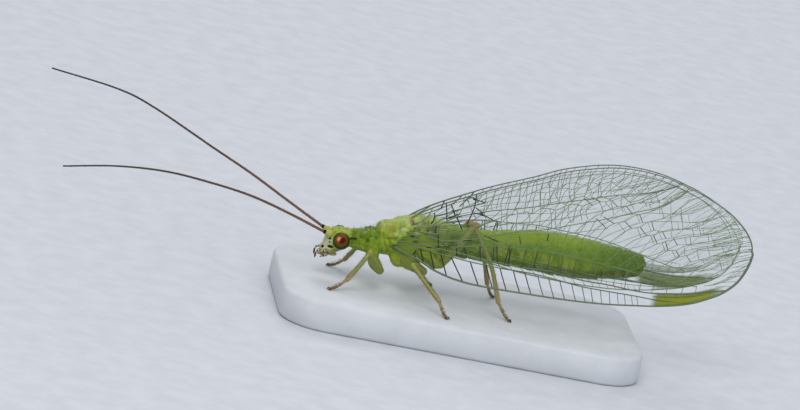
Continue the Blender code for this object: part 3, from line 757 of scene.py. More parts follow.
def build_skin():
    """Head, thorax and abdomen under one closed surface."""
    shapes = Shapes()
    shapes.add(head_loft())
    for sections in (PROTHORAX, MESOTHORAX, METATHORAX):
        shapes.add(body_loft(sections, rings=40, sides=36))
    shapes.add(body_loft(ABDOMEN, rings=120, sides=44, power=ABDOMEN_POWER))
    shapes.add(rod(NECK, NECK_RADII))
    for centre, radii in LUMPS:
        for side in SIDES:
            shapes.add(ball(mirrored(centre, side), radii))
    mesh = voxel_skin(shapes)
    relax(mesh, rounds=6, amount=0.5)
    ripple, wrinkle = skin_relief(mesh)
    relax(mesh, rounds=1, amount=0.4)
    skin_marks(mesh, ripple, wrinkle)
    return put("skin", mesh, SKIN, ("head", "prothorax", "mesothorax", "metathorax", "abdomen"))


# Eyes

EYE_LEVEL = 6
FACET_LEVEL = 4
FACET_REACH, FACET_HEIGHT = 0.075, 0.016


def sphere_mesh(level):
    mesh = bpy.data.meshes.new("sphere")
    bm = bmesh.new()
    bmesh.ops.create_icosphere(bm, subdivisions=level, radius=1.0)
    bm.to_mesh(mesh)
    bm.free()
    return mesh


def build_eye(side):
    """A facetted eye: each facet is a low dome round one point of a coarser sphere."""
    coarse = sphere_mesh(FACET_LEVEL)
    tree = KDTree(len(coarse.vertices))
    for i, vertex in enumerate(coarse.vertices):
        tree.insert(vertex.co.normalized(), i)
    tree.balance()
    bpy.data.meshes.remove(coarse)
    mesh = sphere_mesh(EYE_LEVEL)
    centre = Vector(mirrored(EYE_CENTRE, side))
    pole = Vector(mirrored(EYE_POLE, side))
    glint_and_spots = [(Vector(mirrored(place, side)), reach, change) for place, reach, change in EYE_GLINT_AND_SPOTS]
    rings, iris_glint = [], []
    for vertex in mesh.vertices:
        out = vertex.co.normalized()
        away = min(tree.find(out)[2] / FACET_REACH, 1.0)
        lift = 1.0 + FACET_HEIGHT * (1.0 - away * away)
        rings.append(min(out.angle(pole) / (0.5 * math.pi), 1.0))
        # A painted highlight at the upper front of the iris, and darker spots beside it
        bright = 0.5
        for place, reach, change in glint_and_spots:
            bright += change * (1.0 - float(ease(0.2, 1.0, out.angle(place) / reach)))
        iris_glint.append(bright)
        vertex.co = centre + Vector([o * r for o, r in zip(out, EYE_RADII)]) * lift
    set_values(mesh, {"ring": rings, "iris_glint": iris_glint})
    put("eyeball_" + SIDE_NAMES[side], mesh, EYE, ("eye_" + SIDE_NAMES[side],))


# Mouthparts, given for the right side

LIP = ((-3.02, 0.0, 1.04), (0.11, 0.22, 0.17))
LIP_LEAN = 32.0
CHIN = ((-2.50, 0.0, 1.02), (0.26, 0.16, 0.10))
JAW = ((-2.78, 0.24, 1.14), (-2.90, 0.20, 1.00), (-3.02, 0.08, 0.93))
JAW_RADII = (0.11, 0.09, 0.03)
JAW_ROOT = ((-2.46, 0.20, 1.06), (0.18, 0.12, 0.09))
PALPS = (
    ((-2.80, 0.30, 1.14), (-2.92, 0.38, 1.12), (-3.06, 0.40, 1.16), (-3.17, 0.36, 1.10),
     (-3.21, 0.32, 0.98), (-3.20, 0.30, 0.80)),
    ((-2.62, 0.16, 1.02), (-2.74, 0.24, 0.92), (-2.86, 0.26, 0.90), (-2.96, 0.22, 0.84)),
)
PALP_RADII, PALP_TIP_RADII = (0.036, 0.044, 0.040), (0.036, 0.044, 0.024)
JOINT_REACH = 0.06


def add_palp(shapes, points, dark_tip):
    """A row of slim parts, black at each joint."""
    for start, end in zip(points, points[1:]):
        at_tip = end is points[-1]
        middle = start.lerp(end, 0.5)
        shape = rod((start, middle, end), PALP_TIP_RADII if at_tip else PALP_RADII, sides=10, rings=8)
        dark = at_tip and dark_tip
        marks = [1.0 if dark or (v - end).length < JOINT_REACH else 0.0 for v in shape[0]]
        shapes.add(shape, mark=marks)


def build_mouth():
    shapes = Shapes("tone", "mark")
    lean = Matrix.Rotation(math.radians(LIP_LEAN), 3, "Y")
    shapes.add(ball(*LIP, lean), tone=0.25)
    for side in SIDES:
        shapes.add(rod([mirrored(point, side) for point in JAW], JAW_RADII), tone=0.75)
        for palp in PALPS:
            points = [Vector(mirrored(point, side)) for point in palp]
            add_palp(shapes, points, dark_tip=palp is PALPS[0])
        root, radii = JAW_ROOT
        shapes.add(ball(mirrored(root, side), radii), tone=0.35)
    shapes.add(ball(*CHIN), tone=0.2)
    put("mouth", shapes.mesh("mouth"), MOUTH, ("mouthparts",))


# Antennae

ANTENNA_ROUTES = {
    -1: ((-2.95, -0.42, 1.98), (-4.80, -0.95, 2.65), (-6.64, -1.90, 3.31), (-8.59, -3.10, 3.83),
         (-10.76, -4.30, 4.23), (-12.98, -5.30, 4.29), (-15.27, -6.00, 4.02)),
    1: ((-2.95, 0.42, 1.98), (-4.80, 0.50, 2.86), (-6.56, 0.55, 3.71), (-8.52, 0.55, 4.56),
        (-11.32, 0.45, 5.80), (-13.07, 0.35, 6.34), (-16.05, 0.30, 6.70)),
}
ANTENNA_BASE_RADIUS, ANTENNA_TIP_RADIUS = 0.062, 0.034
ANTENNA_RINGS, ANTENNA_SIDES = 96, 10
# How wide each step of a ring is, as a share of the antenna's radius there
RING_SHAPE = (0.86, 1.04, 1.08, 1.02)
ANTENNA_STEPS = ANTENNA_RINGS * len(RING_SHAPE)
SCAPE = ((-2.66, 0.27, 1.90), (-2.95, 0.42, 1.99))
SCAPE_RADII, COLLAR_RADII = (0.15, 0.17, 0.115), (0.085, 0.095, 0.072)
# How far the collar reaches from the scape, and where it turns black
COLLAR_REACH, COLLAR_MARK = 0.15, 0.05


def antenna_radius(share):
    """The radius at a share of the antenna's length."""
    return ANTENNA_BASE_RADIUS + (ANTENNA_TIP_RADIUS - ANTENNA_BASE_RADIUS) * share


def ring_values(values, sides):
    """Values given for each ring of a tube, for all its vertices and its two end points."""
    return [value for value in values for _ in range(sides)] + [values[0], values[-1]]


def build_antenna(side):
    """The long ringed part, black between its rings and darker towards its tip."""
    name = "antenna_" + SIDE_NAMES[side]
    route = curve(ANTENNA_ROUTES[side], ANTENNA_STEPS + 1)
    radii, tones, marks = [], [], []
    for i in range(ANTENNA_STEPS + 1):
        share = i / ANTENNA_STEPS
        step = i % len(RING_SHAPE)
        radii.append(antenna_radius(share) * RING_SHAPE[step])
        tones.append(float(ease(0.05, 0.75, share)))
        black = 0.85 * (0.4 + 0.6 * share) if step == 0 else 0.0
        marks.append(min(black + 0.35 * float(ease(0.6, 1.0, share)), 1.0))
    shapes = Shapes("tone", "mark")
    shape = tube(route, radii, ANTENNA_SIDES)
    shapes.add(shape, tone=ring_values(tones, ANTENNA_SIDES), mark=ring_values(marks, ANTENNA_SIDES))
    put(name + "_whip", shapes.mesh("antenna"), ANTENNA, (name,))
    build_scape(name, side, (Vector(route[6]) - Vector(route[0])).normalized())


def build_scape(name, side, out):
    """The thick first part on the head, and the black collar that the antenna leaves."""
    start, tip = (Vector(mirrored(point, side)) for point in SCAPE)
    shapes = Shapes(*SKIN_LAYERS)
    shape = rod((start, start.lerp(tip, 0.5), tip), SCAPE_RADII, sides=20, rings=14)
    shapes.add(shape, yellow=0.95, pale=0.20, brown=0.05)
    collar = rod((tip, tip + out * 0.08, tip + out * COLLAR_REACH), COLLAR_RADII, sides=16, rings=10)
    marks = [1.0 if (v - tip).dot(out) > COLLAR_MARK else 0.0 for v in collar[0]]
    shapes.add(collar, yellow=0.5, mark=marks)
    put(name + "_base", shapes.mesh("scape"), SKIN)


# Legs: each leg's points from the hip over the trochanter, the knee and the ankle, and its foot

LEGS = {
    "foreleg_left": (
        ((-0.74, -0.36, 1.56), (-0.66, -0.56, 1.10), (-0.34, -0.82, 0.86), (-0.70, -1.30, 1.36),
         (-1.06, -1.75, 1.78), (-1.45, -1.95, 1.12), (-1.84, -2.10, 0.49)),
        (-2.52, -2.50),
    ),
    "foreleg_right": (
        ((-0.74, 0.36, 1.56), (-0.66, 0.56, 1.10), (-0.42, 0.82, 0.86), (-0.72, 1.24, 1.22),
         (-0.98, 1.62, 1.50), (-1.32, 1.62, 0.98), (-1.65, 1.60, 0.46)),
        (-2.25, 1.76),
    ),
    "midleg_left": (
        ((0.50, -0.50, 1.54), (0.96, -0.72, 1.34), (1.52, -0.90, 1.20), (1.10, -1.70, 1.52),
         (0.80, -2.40, 1.74), (1.46, -2.88, 1.18), (2.11, -3.30, 0.63)),
        (2.52, -3.74),
    ),
    "midleg_right": (
        ((0.50, 0.50, 1.50), (0.78, 0.72, 1.22), (1.05, 0.95, 1.18), (1.04, 1.44, 1.40),
         (1.08, 1.90, 1.50), (1.46, 1.82, 1.02), (1.80, 1.72, 0.55)),
        (2.28, 1.64),
    ),
    "hindleg_left": (
        ((1.76, -0.42, 1.78), (1.94, -0.58, 1.60), (2.22, -0.72, 1.62), (2.64, -1.06, 2.50),
         (3.28, -0.74, 3.58), (3.84, -1.10, 2.84), (4.36, -1.50, 2.00), (4.86, -2.02, 0.74)),
        (5.46, -2.17),
    ),
    "hindleg_right": (
        ((1.76, 0.42, 1.78), (1.94, 0.58, 1.60), (2.22, 0.72, 1.62), (2.60, 1.10, 2.40),
         (3.26, 0.74, 3.26), (3.81, 1.10, 2.62), (4.25, 1.30, 2.00), (4.76, 1.60, 0.60)),
        (5.10, 1.62),
    ),
}
HIP_RADII = (0.24, 0.24, 0.19)
TROCHANTER_RADII = (0.16, 0.16, 0.15)
THIGH_RADII = (0.17, 0.19, 0.19, 0.17, 0.13)
KNEE_RADII = (0.125, 0.125, 0.125)
KNEE_CAP_SHIFT, KNEE_CAP_RADII = Vector((0.05, 0.0, 0.04)), (0.23, 0.17, 0.17)
SHIN_RADII = (0.100, 0.096, 0.092, 0.096, 0.104)
# Where the five toe joints start and end, and how wide each one is along its length
TOE_SHARES = (0.0, 0.40, 0.56, 0.69, 0.80, 1.0)
TOE_PLACES, TOE_WIDTHS = (0.0, 0.5, 0.92), (0.75, 0.95, 1.15)
TOE_RADIUS = 0.062
TOE_STEPS = 40
CLAW_LENGTH = 0.11
CLAW_RADII, PAD_RADII = (0.034, 0.026, 0.008), (0.06, 0.06, 0.04)


def leg_parts(route):
    """The hip, thigh and shin, each from where the part before it ends."""
    return route[:3], route[2:5], route[4:]


def add_toes(shapes, ankle, sole):
    """Five toe joints in a row, each one darker at its end."""
    bend = ankle.lerp(sole, 0.55) - Vector((0.0, 0.0, 0.07))
    toes = curve((ankle, bend, sole), TOE_STEPS + 1)
    for start, end in zip(TOE_SHARES, TOE_SHARES[1:]):
        places = [start + (end - start) * share for share in TOE_PLACES]
        points = [toes[int(round(TOE_STEPS * place))] for place in places]
        shape = rod(points, [TOE_RADIUS * width for width in TOE_WIDTHS], sides=12, rings=8)
        first, tip = Vector(points[0]), Vector(points[-1])
        dark_from = 0.93 * (tip - first).length
        plain = 0.35 if end == TOE_SHARES[-1] else 0.0
        marks = [0.6 if (v - first).length > dark_from else plain for v in shape[0]]
        shapes.add(shape, tone=0.85, mark=marks)


def add_claws(shapes, ankle, sole):
    """Two claws and the pad between them."""
    ahead = sole - ankle
    ahead.z = 0.0
    ahead.normalize()
    across = Vector((-ahead.y, ahead.x, 0.0))
    for turn in SIDES:
        root = sole + across * 0.035 * turn + Vector((0.0, 0.0, 0.01))
        middle = root + ahead * CLAW_LENGTH * 0.55 + across * turn * 0.05 + Vector((0.0, 0.0, 0.03))
        tip = root + ahead * CLAW_LENGTH + across * turn * 0.06 - Vector((0.0, 0.0, 0.06))
        shapes.add(rod((root, middle, tip), CLAW_RADII, sides=8, rings=8), tone=1.0, mark=1.0)
    shapes.add(ball(sole + ahead * 0.07, PAD_RADII), tone=1.0, mark=0.4)


def build_leg(name):
    route, foot = LEGS[name]
    hip, thigh, shin = leg_parts(route)
    knee, ankle = Vector(shin[0]), Vector(shin[-1])
    sole = Vector((*foot, TOE_RADIUS))
    shapes = Shapes("tone", "mark")
    shapes.add(rod(hip, HIP_RADII, sides=20, rings=16), tone=0.0)
    shapes.add(ball(thigh[0], TROCHANTER_RADII), tone=0.05)
    shapes.add(rod(thigh, THIGH_RADII, sides=18, rings=26), tone=0.08)
    shapes.add(ball(knee, KNEE_RADII), tone=0.15)
    if name.startswith("hind"):
        shapes.add(ball(knee + KNEE_CAP_SHIFT, KNEE_CAP_RADII), tone=0.8)
    shape = rod(shin, SHIN_RADII, sides=16, rings=34)
    length = (ankle - knee).length
    tones = [0.30 + 0.45 * float(ease(0.55, 1.0, (v - knee).length / length)) for v in shape[0]]
    shapes.add(shape, tone=tones)
    add_toes(shapes, ankle, sole)
    add_claws(shapes, ankle, sole)
    put(name + "_shape", shapes.mesh(name), LEG, (name,))


# Wings: margins in side view (x, z)

FOREWING_FRONT = (
    (0.10, 2.02), (0.40, 1.94), (0.69, 1.90), (0.95, 1.87), (1.38, 1.76), (1.85, 1.61), (2.70, 1.48),
    (3.90, 1.43), (5.60, 1.46), (8.00, 1.56), (10.50, 1.78), (12.00, 1.90), (13.20, 2.12),
    (14.18, 2.53), (14.66, 2.84), (15.08, 3.27), (15.34, 3.76), (15.49, 4.28), (15.53, 4.62),
)
FOREWING_HIND = (
    (0.10, 2.74), (0.34, 3.09), (0.80, 3.51), (1.60, 4.04), (2.80, 4.70), (4.00, 5.31), (5.60, 6.02),
    (6.90, 6.64), (8.56, 7.14), (9.88, 7.29), (11.24, 7.20), (12.65, 6.86), (13.38, 6.61), (14.13, 6.28),
    (14.60, 5.98), (15.04, 5.62), (15.34, 5.26), (15.49, 4.96), (15.53, 4.76),
)
HINDWING_FRONT = (
    (1.30, 2.82), (2.60, 2.58), (3.80, 2.46), (5.60, 2.27), (8.00, 2.24), (10.20, 2.38), (12.00, 2.60),
    (13.10, 2.84), (13.90, 3.20), (14.50, 3.70), (14.86, 4.16), (15.00, 4.52),
)
HINDWING_HIND = (
    (1.30, 3.10), (2.00, 3.80), (2.60, 4.20), (3.80, 4.92), (5.60, 5.78), (7.00, 6.38), (8.60, 6.88),
    (9.90, 7.03), (11.24, 6.96), (12.65, 6.62), (13.40, 6.32), (14.04, 5.94), (14.54, 5.50), (14.88, 5.02),
    (15.00, 4.68),
)
# How far from the middle plane the forewing's front and hind edge lie, at root, along it and at its tip
WING_ROOT_Y, WING_FRONT_Y, WING_TIP_FRONT_Y = 0.95, 2.50, 0.86
WING_BODY_Y, WING_HIND_Y, WING_TIP_HIND_Y = 0.22, 0.20, 0.54
# The length over which the roof opens, where it closes on the body, where it narrows, and its bend
WING_FLARE = 3.5
WING_CLOSING = (2.4, 7.0)
WING_NARROWING = (9.0, 15.6)
WING_BEND = 2.6
# Where the front edge's vein and the long veins reach the body
EDGE_HINGE, WING_HINGE = (-0.03, 0.78, 2.03), (-0.24, 0.72, 2.36)
HINGE_RISE = 0.14
# The hindwing lies under the forewing, and both keep clear of the middle plane
HINDWING_INSET = 0.30
HINDWING_ROOT_Y = 0.78
HINDWING_OPENING = (1.3, 3.2)
RIDGE_GAP = 0.06
# The far wings are swept forward, and their fine veins are slimmer
APEX_BULGE = 0.01
FAR_SWEEP = 0.28
SWEEP_SHARES = {"forewing": 1.0, "hindwing": 0.9}
FINE_VEIN, FAR_SLIMNESS, VEIN_SIDES = 0.020, 0.72, 6
WING_HALF_THICKNESS = 0.006
MARGIN_STEPS = 400


def margin_table(points):
    """A margin's x and z at close steps."""
    table = np.array(curve(points, MARGIN_STEPS))
    return table[:, 0], table[:, 1]


MARGINS = {
    "forewing": (margin_table(FOREWING_FRONT), margin_table(FOREWING_HIND)),
    "hindwing": (margin_table(HINDWING_FRONT), margin_table(HINDWING_HIND)),
}


def forewing_y(x, share):
    """How far the forewing is from the middle plane, at a share from its front to its hind edge."""
    start = FOREWING_FRONT[0][0]
    out = min(max((x - start) / WING_FLARE, 0.0), 1.0)
    front = WING_ROOT_Y + (WING_FRONT_Y - WING_ROOT_Y) * math.sin(out * math.pi / 2.0)
    hind = WING_BODY_Y + (WING_HIND_Y - WING_BODY_Y) * ease(*WING_CLOSING, x)
    narrowing = ease(*WING_NARROWING, x)
    front += (WING_TIP_FRONT_Y - WING_FRONT_Y) * narrowing
    hind += (WING_TIP_HIND_Y - WING_HIND_Y) * narrowing
    return front - (front - hind) * min(max(share, 0.0), 1.0) ** WING_BEND


def wing_place(kind, side, u, q):
    """A point of the wing: u from root to tip, q from front to hind margin."""
    front, hind = MARGINS[kind]
    low, high = front[0][0], front[0][-1]
    x = low + (high - low) * min(max(u, 0.0), 1.0)
    start = float(np.interp(x, *front))
    end = float(np.interp(x, *hind))
    z = start + (end - start) * q
    if kind == "forewing":
        y = forewing_y(x, q)
    else:
        outer_low, outer_high = (float(np.interp(x, *margin)) for margin in MARGINS["forewing"])
        y = max(forewing_y(x, (z - outer_low) / (outer_high - outer_low)) - HINDWING_INSET, RIDGE_GAP)
        y = HINDWING_ROOT_Y + (y - HINDWING_ROOT_Y) * ease(*HINDWING_OPENING, x)
    x += APEX_BULGE * (1.0 - (2.0 * q - 1.0) ** 2) * ease(0.9, 1.0, u)
    if side > 0:
        x -= FAR_SWEEP * u * SWEEP_SHARES[kind]
    return Vector((x, side * y, z))


# Long veins as (u, q) points with radius and tone
LONG_VEINS = {
    "front_edge": (
        ((0.0, 0.02), (0.06, 0.0), (0.15, 0.0), (0.30, 0.0), (0.45, 0.0), (0.60, 0.0), (0.75, 0.0),
         (0.90, 0.0), (0.97, 0.0), (1.0, 0.0)), 0.045, 0.9),
    "hind_edge": (
        ((0.0, 0.98), (0.10, 1.0), (0.25, 1.0), (0.40, 1.0), (0.55, 1.0), (0.70, 1.0), (0.85, 1.0),
         (0.97, 1.0), (1.0, 1.0)), 0.026, 0.9),
    "outer_edge": (((1.0, 0.0), (1.0, 0.5), (1.0, 1.0)), 0.040, 0.9),
    "under_front": (
        ((0.0, 0.28), (0.05, 0.27), (0.09, 0.29), (0.15, 0.295), (0.22, 0.26), (0.29, 0.225), (0.37, 0.20),
         (0.44, 0.165), (0.52, 0.125), (0.60, 0.104), (0.68, 0.080), (0.74, 0.056), (0.80, 0.034),
         (0.87, 0.0)), 0.030, 0.35),
    "main": (
        ((0.0, 0.38), (0.05, 0.35), (0.10, 0.37), (0.16, 0.365), (0.25, 0.30), (0.34, 0.25), (0.43, 0.225),
         (0.52, 0.175), (0.60, 0.155), (0.70, 0.115), (0.80, 0.110), (0.88, 0.095), (0.93, 0.05),
         (0.95, 0.0)), 0.034, 0.15),
    "sector": (
        ((0.0, 0.50), (0.06, 0.45), (0.10, 0.43), (0.15, 0.44), (0.22, 0.46), (0.30, 0.44), (0.40, 0.40),
         (0.50, 0.345), (0.60, 0.30), (0.70, 0.25), (0.80, 0.205), (0.86, 0.17)), 0.022, 0.2),
    "middle": (
        ((0.0, 0.62), (0.06, 0.55), (0.12, 0.51), (0.18, 0.53), (0.24, 0.56), (0.28, 0.58), (0.35, 0.585),
         (0.42, 0.59), (0.49, 0.62), (0.555, 0.65), (0.63, 0.71), (0.70, 0.78), (0.76, 0.90),
         (0.785, 1.0)), 0.024, 0.6),
    "inner": (
        ((0.0, 0.76), (0.06, 0.62), (0.12, 0.60), (0.17, 0.65), (0.21, 0.68), (0.25, 0.71)), 0.023, 0.5),
    "hind": (
        ((0.0, 0.86), (0.05, 0.72), (0.09, 0.72), (0.125, 0.78), (0.15, 0.82), (0.162, 0.90), (0.165, 1.0)),
        0.022, 0.5),
    "last": (((0.0, 0.92), (0.04, 0.82), (0.07, 0.88), (0.085, 1.0)), 0.020, 0.4),
}
EDGE_VEINS = ("front_edge", "hind_edge", "outer_edge")
HAIRY_VEINS = ("under_front", "main", "sector", "middle", "inner")
DARKENED_VEINS, DARKENED_FROM = ("under_front", "main"), 0.345
# The extra vein and the short bars of the yellow-green mark, and where that mark lies
STIGMA_VEIN = ((0.735, 0.084), (0.80, 0.078), (0.88, 0.066), (0.93, 0.03))
STIGMA_BARS = (0.765, 0.80, 0.835, 0.87, 0.90, 0.925, 0.945)
STIGMA_BAR_LEAN = 0.022
STIGMA_START, STIGMA_END, STIGMA_DEPTH = 0.742, 0.928, 0.108
STIGMA_STRENGTH = {-1: 1.0, 1: 0.78}
# The same mark on a hindwing: how strong it is, and its share of the depth
HINDWING_STIGMA = (0.4, 0.6)
# Where the cross-veins behind the front margin start, and how far they lean at a given place
FRONT_BARS = (
    0.063, 0.089, 0.119, 0.147, 0.201, 0.247, 0.287, 0.325, 0.358, 0.395, 0.427, 0.460, 0.495, 0.526, 0.551,
    0.579, 0.605, 0.629, 0.650, 0.671, 0.687,
)
BAR_LEANS = (
    (0.060, 0.014), (0.090, 0.022), (0.120, 0.027), (0.147, 0.045), (0.201, 0.036), (0.247, 0.031),
    (0.360, 0.031), (0.460, 0.026), (0.600, 0.010),
)
# Short veins that are black: their two ends
BLACK_VEINS = (
    ((0.119, 1.00), (0.123, 0.79)), ((0.198, 1.00), (0.194, 0.88)), ((0.194, 0.88), (0.178, 0.72)),
    ((0.209, 0.81), (0.250, 0.71)), ((0.198, 0.87), (0.218, 0.80)), ((0.148, 0.81), (0.166, 0.65)),
    ((0.096, 0.72), (0.096, 0.60)), ((0.103, 0.60), (0.110, 0.38)), ((0.173, 0.52), (0.195, 0.53)),
    ((0.228, 0.57), (0.269, 0.50)), ((0.266, 0.46), (0.277, 0.27)), ((0.301, 0.45), (0.297, 0.26)),
    ((0.304, 0.43), (0.310, 0.25)), ((0.220, 0.45), (0.229, 0.30)), ((0.179, 0.43), (0.189, 0.31)),
    ((0.158, 0.42), (0.161, 0.33)),
)
# The tables from here to EDGE_BARS give veins of the near forewing in pixels of the photo, across
# and down. First the black ones near the root
BLACK_LINES = (
    ((427, 247.2), (433, 247.4), (440, 246.4)), ((444, 246.6), (450, 246.3), (457, 245.6)),
    ((434.6, 213.5), (434.4, 219), (431.2, 223.8)), ((452.5, 210), (454.5, 213), (455, 217)),
    ((415.9, 250.4), (413.3, 254.6)), ((448.6, 217.8), (454, 216), (460, 213.6)),
    ((519.5, 236.5), (520.6, 244)), ((548.5, 233.5), (547.5, 241)),
)
# The two bent lines and the pale one between the middle and the hind margin
BENT_LINES = (
    ((480, 225), (495, 220), (505, 216), (519, 213.5), (527, 212), (532, 214), (541, 208.5),
     (550, 208.5), (556, 210.5), (569, 204.5), (578, 204), (582, 206.5), (598, 200)),
    ((541, 208.5), (550, 203), (558, 201.5), (565, 204.5), (576, 197.5), (584, 196), (591, 200.5),
     (601, 196), (610, 199.5), (621, 194.5), (630, 202.5), (640, 200), (652, 194), (664, 189)),
    ((490, 226.5), (516, 223), (536, 222), (551, 220), (562, 219), (582, 215), (597, 212), (615, 209),
     (628, 206), (650, 199), (668, 190.5)),
)
# Veinlets from the hind margin down to the bent lines
VEINLETS = (
    ((467, 196), (470, 206), (476, 219)), ((487, 189), (486, 200), (484, 212), (487, 222)),
    ((497, 186.5), (492, 200), (484, 214)), ((507.5, 183), (504.5, 194), (501, 204), (502, 215)),
    ((513.5, 182), (510.5, 198), (508.5, 205), (506.5, 215)),
    ((521, 179.5), (519.5, 198), (516, 207), (518, 213.5)),
    ((528, 178.5), (526.5, 196), (525.5, 205), (524, 213)),
    ((537.5, 175.5), (536.5, 189), (534, 198), (532, 214)),
    ((545.5, 173.5), (541, 189), (540, 196), (541, 208.5)),
    ((553, 172), (550.5, 180), (549.5, 189), (550.5, 203)),
    ((561, 170.5), (557.5, 189), (555.5, 195), (559, 201)),
    ((567, 169), (564.5, 178.5), (561.5, 189), (559, 201)), ((572, 168), (569, 190), (571, 200)),
    ((581, 166), (577, 181.5), (574, 188), (574.5, 196), (571, 203)),
    ((592, 165), (589, 181.5), (586, 193), (584, 196)), ((594.5, 177), (587, 191)),
    ((604, 165), (601.5, 179.5), (597.5, 185.5), (588, 191)),
    ((599.5, 181.5), (598.5, 191), (597.5, 200)),
    ((614.5, 165.5), (611.5, 181.5), (603.5, 191), (600.5, 196)),
    ((626, 166.5), (623, 179.5), (611.5, 189), (605.5, 194.5)),
    ((636, 168), (631, 181.5), (623, 189), (611.5, 191.5)), ((640, 177), (633.5, 188), (624.5, 196)),
    ((648, 171), (644, 181.5), (633.5, 190.5), (625.5, 198)),
    ((657, 173.5), (649, 184.5), (641, 193), (630, 202)), ((666, 176), (657, 185.5), (644, 194)),
    ((675, 179), (664, 189), (652, 196), (640, 204)),
    ((684, 183), (671.5, 193), (661, 200), (649, 205)),
    ((692, 187), (677.5, 198), (666, 205), (657, 208)),
)
# Cross-veins from the bent lines down to the middle vein
CELL_WALLS = (
    ((496, 220), (497, 232)), ((502, 215), (501, 226), (503, 233)), ((507, 216), (507, 231)),
    ((518, 213.5), (516.5, 222), (516, 231)), ((528, 213), (530, 220), (526, 230)),
    ((541, 209), (540, 220), (538.5, 229)), ((550, 208.5), (551.5, 218), (551.5, 227.5)),
    ((556, 210.5), (555, 220), (556, 227)), ((565, 207), (562, 216), (560, 226)),
    ((569, 204.5), (568, 216), (572, 223)), ((578, 204), (575, 212), (573, 222.5)),
    ((582, 206.5), (580.5, 212), (582, 220)), ((590, 203), (586, 212), (588, 219)),
    ((598, 200), (603, 210), (601, 216.5)), ((610, 199.5), (612, 206), (613.5, 214)),
    ((622, 196), (621, 204), (623, 212)), ((630, 202.5), (634, 209)), ((643, 199), (647, 207)),
    ((656, 193), (659, 203)),
)
# Branches of the sector: the first ones end on the middle vein, the others reach the margin
INNER_BRANCHES = (
    ((500, 246), (507, 240), (512, 232)), ((515, 247), (522, 240), (528, 231)),
    ((534, 250), (541, 243), (547, 231.5)), ((545, 251.5), (553.5, 241), (558, 234.5), (560.5, 226.5)),
    ((554, 253.5), (563, 243), (567, 234.5), (571, 225)),
    ((561, 255), (568, 246), (575, 237.5), (585, 225.5), (586.5, 220)),
    ((569, 257), (576, 247), (584, 237.5), (590, 230.5), (597, 218)),
)
OUTER_BRANCHES = (
    ((578, 259), (583, 249), (593, 241.5), (599.5, 235.5), (606, 228), (614, 223.5), (625, 221.5),
     (634, 216), (649, 212), (661, 207), (671.5, 200), (678, 195), (690, 186)),
    ((590, 262), (598, 252), (611, 241.5), (625, 231.5), (631.5, 228.5), (640, 227), (647, 222.5),
     (661, 219), (671.5, 214), (684, 206), (690, 200), (707, 196)),
    ((604, 265), (612, 257), (619.5, 250.5), (633.5, 240.5), (646.5, 235.5), (653.5, 235), (661, 232),
     (675.5, 230), (692, 228), (702, 225.5), (710, 220.5), (722, 208)),
    ((616, 268), (625, 262), (638, 254.5), (646, 249), (657, 244), (665.5, 241.5), (679.5, 238.5),
     (692, 236.5), (705, 235.5), (720.5, 231.5), (730.5, 225.5), (737, 219)),
    ((628, 271.5), (636, 269), (646, 263), (657, 257), (668, 250.5), (676, 250.5), (684.5, 246),
     (696, 244), (712, 241), (727.5, 236.5), (738, 231.5), (745.5, 229)),
    ((641, 275), (652, 272), (665.5, 264), (679.5, 257), (686.5, 255.5), (698, 250), (712, 247),
     (727.5, 244), (742, 238), (750, 238)),
    ((655, 279), (664, 279), (673.5, 273.5), (681.5, 268.5), (690.5, 262), (700, 260), (712, 256),
     (727.5, 252), (742, 247), (752, 246)),
    ((672, 283), (682, 280.5), (690, 275.5), (698, 267), (707, 263), (722.5, 258), (738, 253),
     (752.5, 252)),
    ((690, 285.5), (700, 281.5), (712, 275.5), (725.5, 268.5), (740, 261.5), (752, 259)),
    ((704, 286), (712, 285), (727.5, 278.5), (740, 272), (749, 267)),
)
# The dark steps between the branches, and the paler rows on both sides of them
DARK_STEPS = (
    ((604, 217), (614, 223.5)), ((625, 221.5), (631.5, 228.5)), ((640, 227), (646.5, 235.5)),
    ((653.5, 235), (657, 243.5)), ((665.5, 241.5), (668, 250.5)), ((676, 250.5), (679.5, 257)),
    ((686.5, 255.5), (690.5, 262)), ((606, 228), (597, 219)),
)
PALE_STEPS = (
    ((618.5, 223.5), (625, 231.5)), ((637, 228), (641, 237)), ((650.5, 235), (654.5, 245)),
    ((662, 243), (665.5, 252)), ((672, 250.5), (676, 258.5)), ((649, 204), (652.5, 211)),
    ((661, 207), (664, 218)), ((670.5, 214.5), (672.5, 230)), ((681, 208), (683, 229)),
    ((692, 228), (694, 236.5)), ((699, 226.5), (701, 235.5)), ((708, 235), (709, 241.5)),
    ((714, 241), (715.5, 246.5)), ((722, 245.5), (724, 253)), ((719, 259), (722, 270)),
    ((703, 261.5), (705, 264)), ((690, 237), (691, 245)), ((697, 250), (699, 260)),
    ((684, 246), (685, 255.5)),
)
# Bars of the outer edge, and how far before the edge each branch forks and by how much
EDGE_BARS = (
    ((733, 225), (741, 224.5)), ((737, 231.5), (745.5, 230)), ((740.5, 237.5), (749, 235.5)),
    ((742.5, 244), (751, 241.5)), ((743, 250.5), (752.6, 248)), ((741.5, 256.5), (752.6, 254)),
    ((739, 262), (751, 259.5)), ((735.5, 267.5), (748.6, 265.5)), ((731, 272.5), (746, 270.5)),
    ((726.5, 277.5), (741.5, 276)), ((721.5, 282.5), (736, 281.5)), ((715.5, 287), (730, 286.5)),
    ((709, 291), (724, 291)),
)
FORKS = ((46.0, 4.2), (28.0, 2.1), (24.0, -2.1))
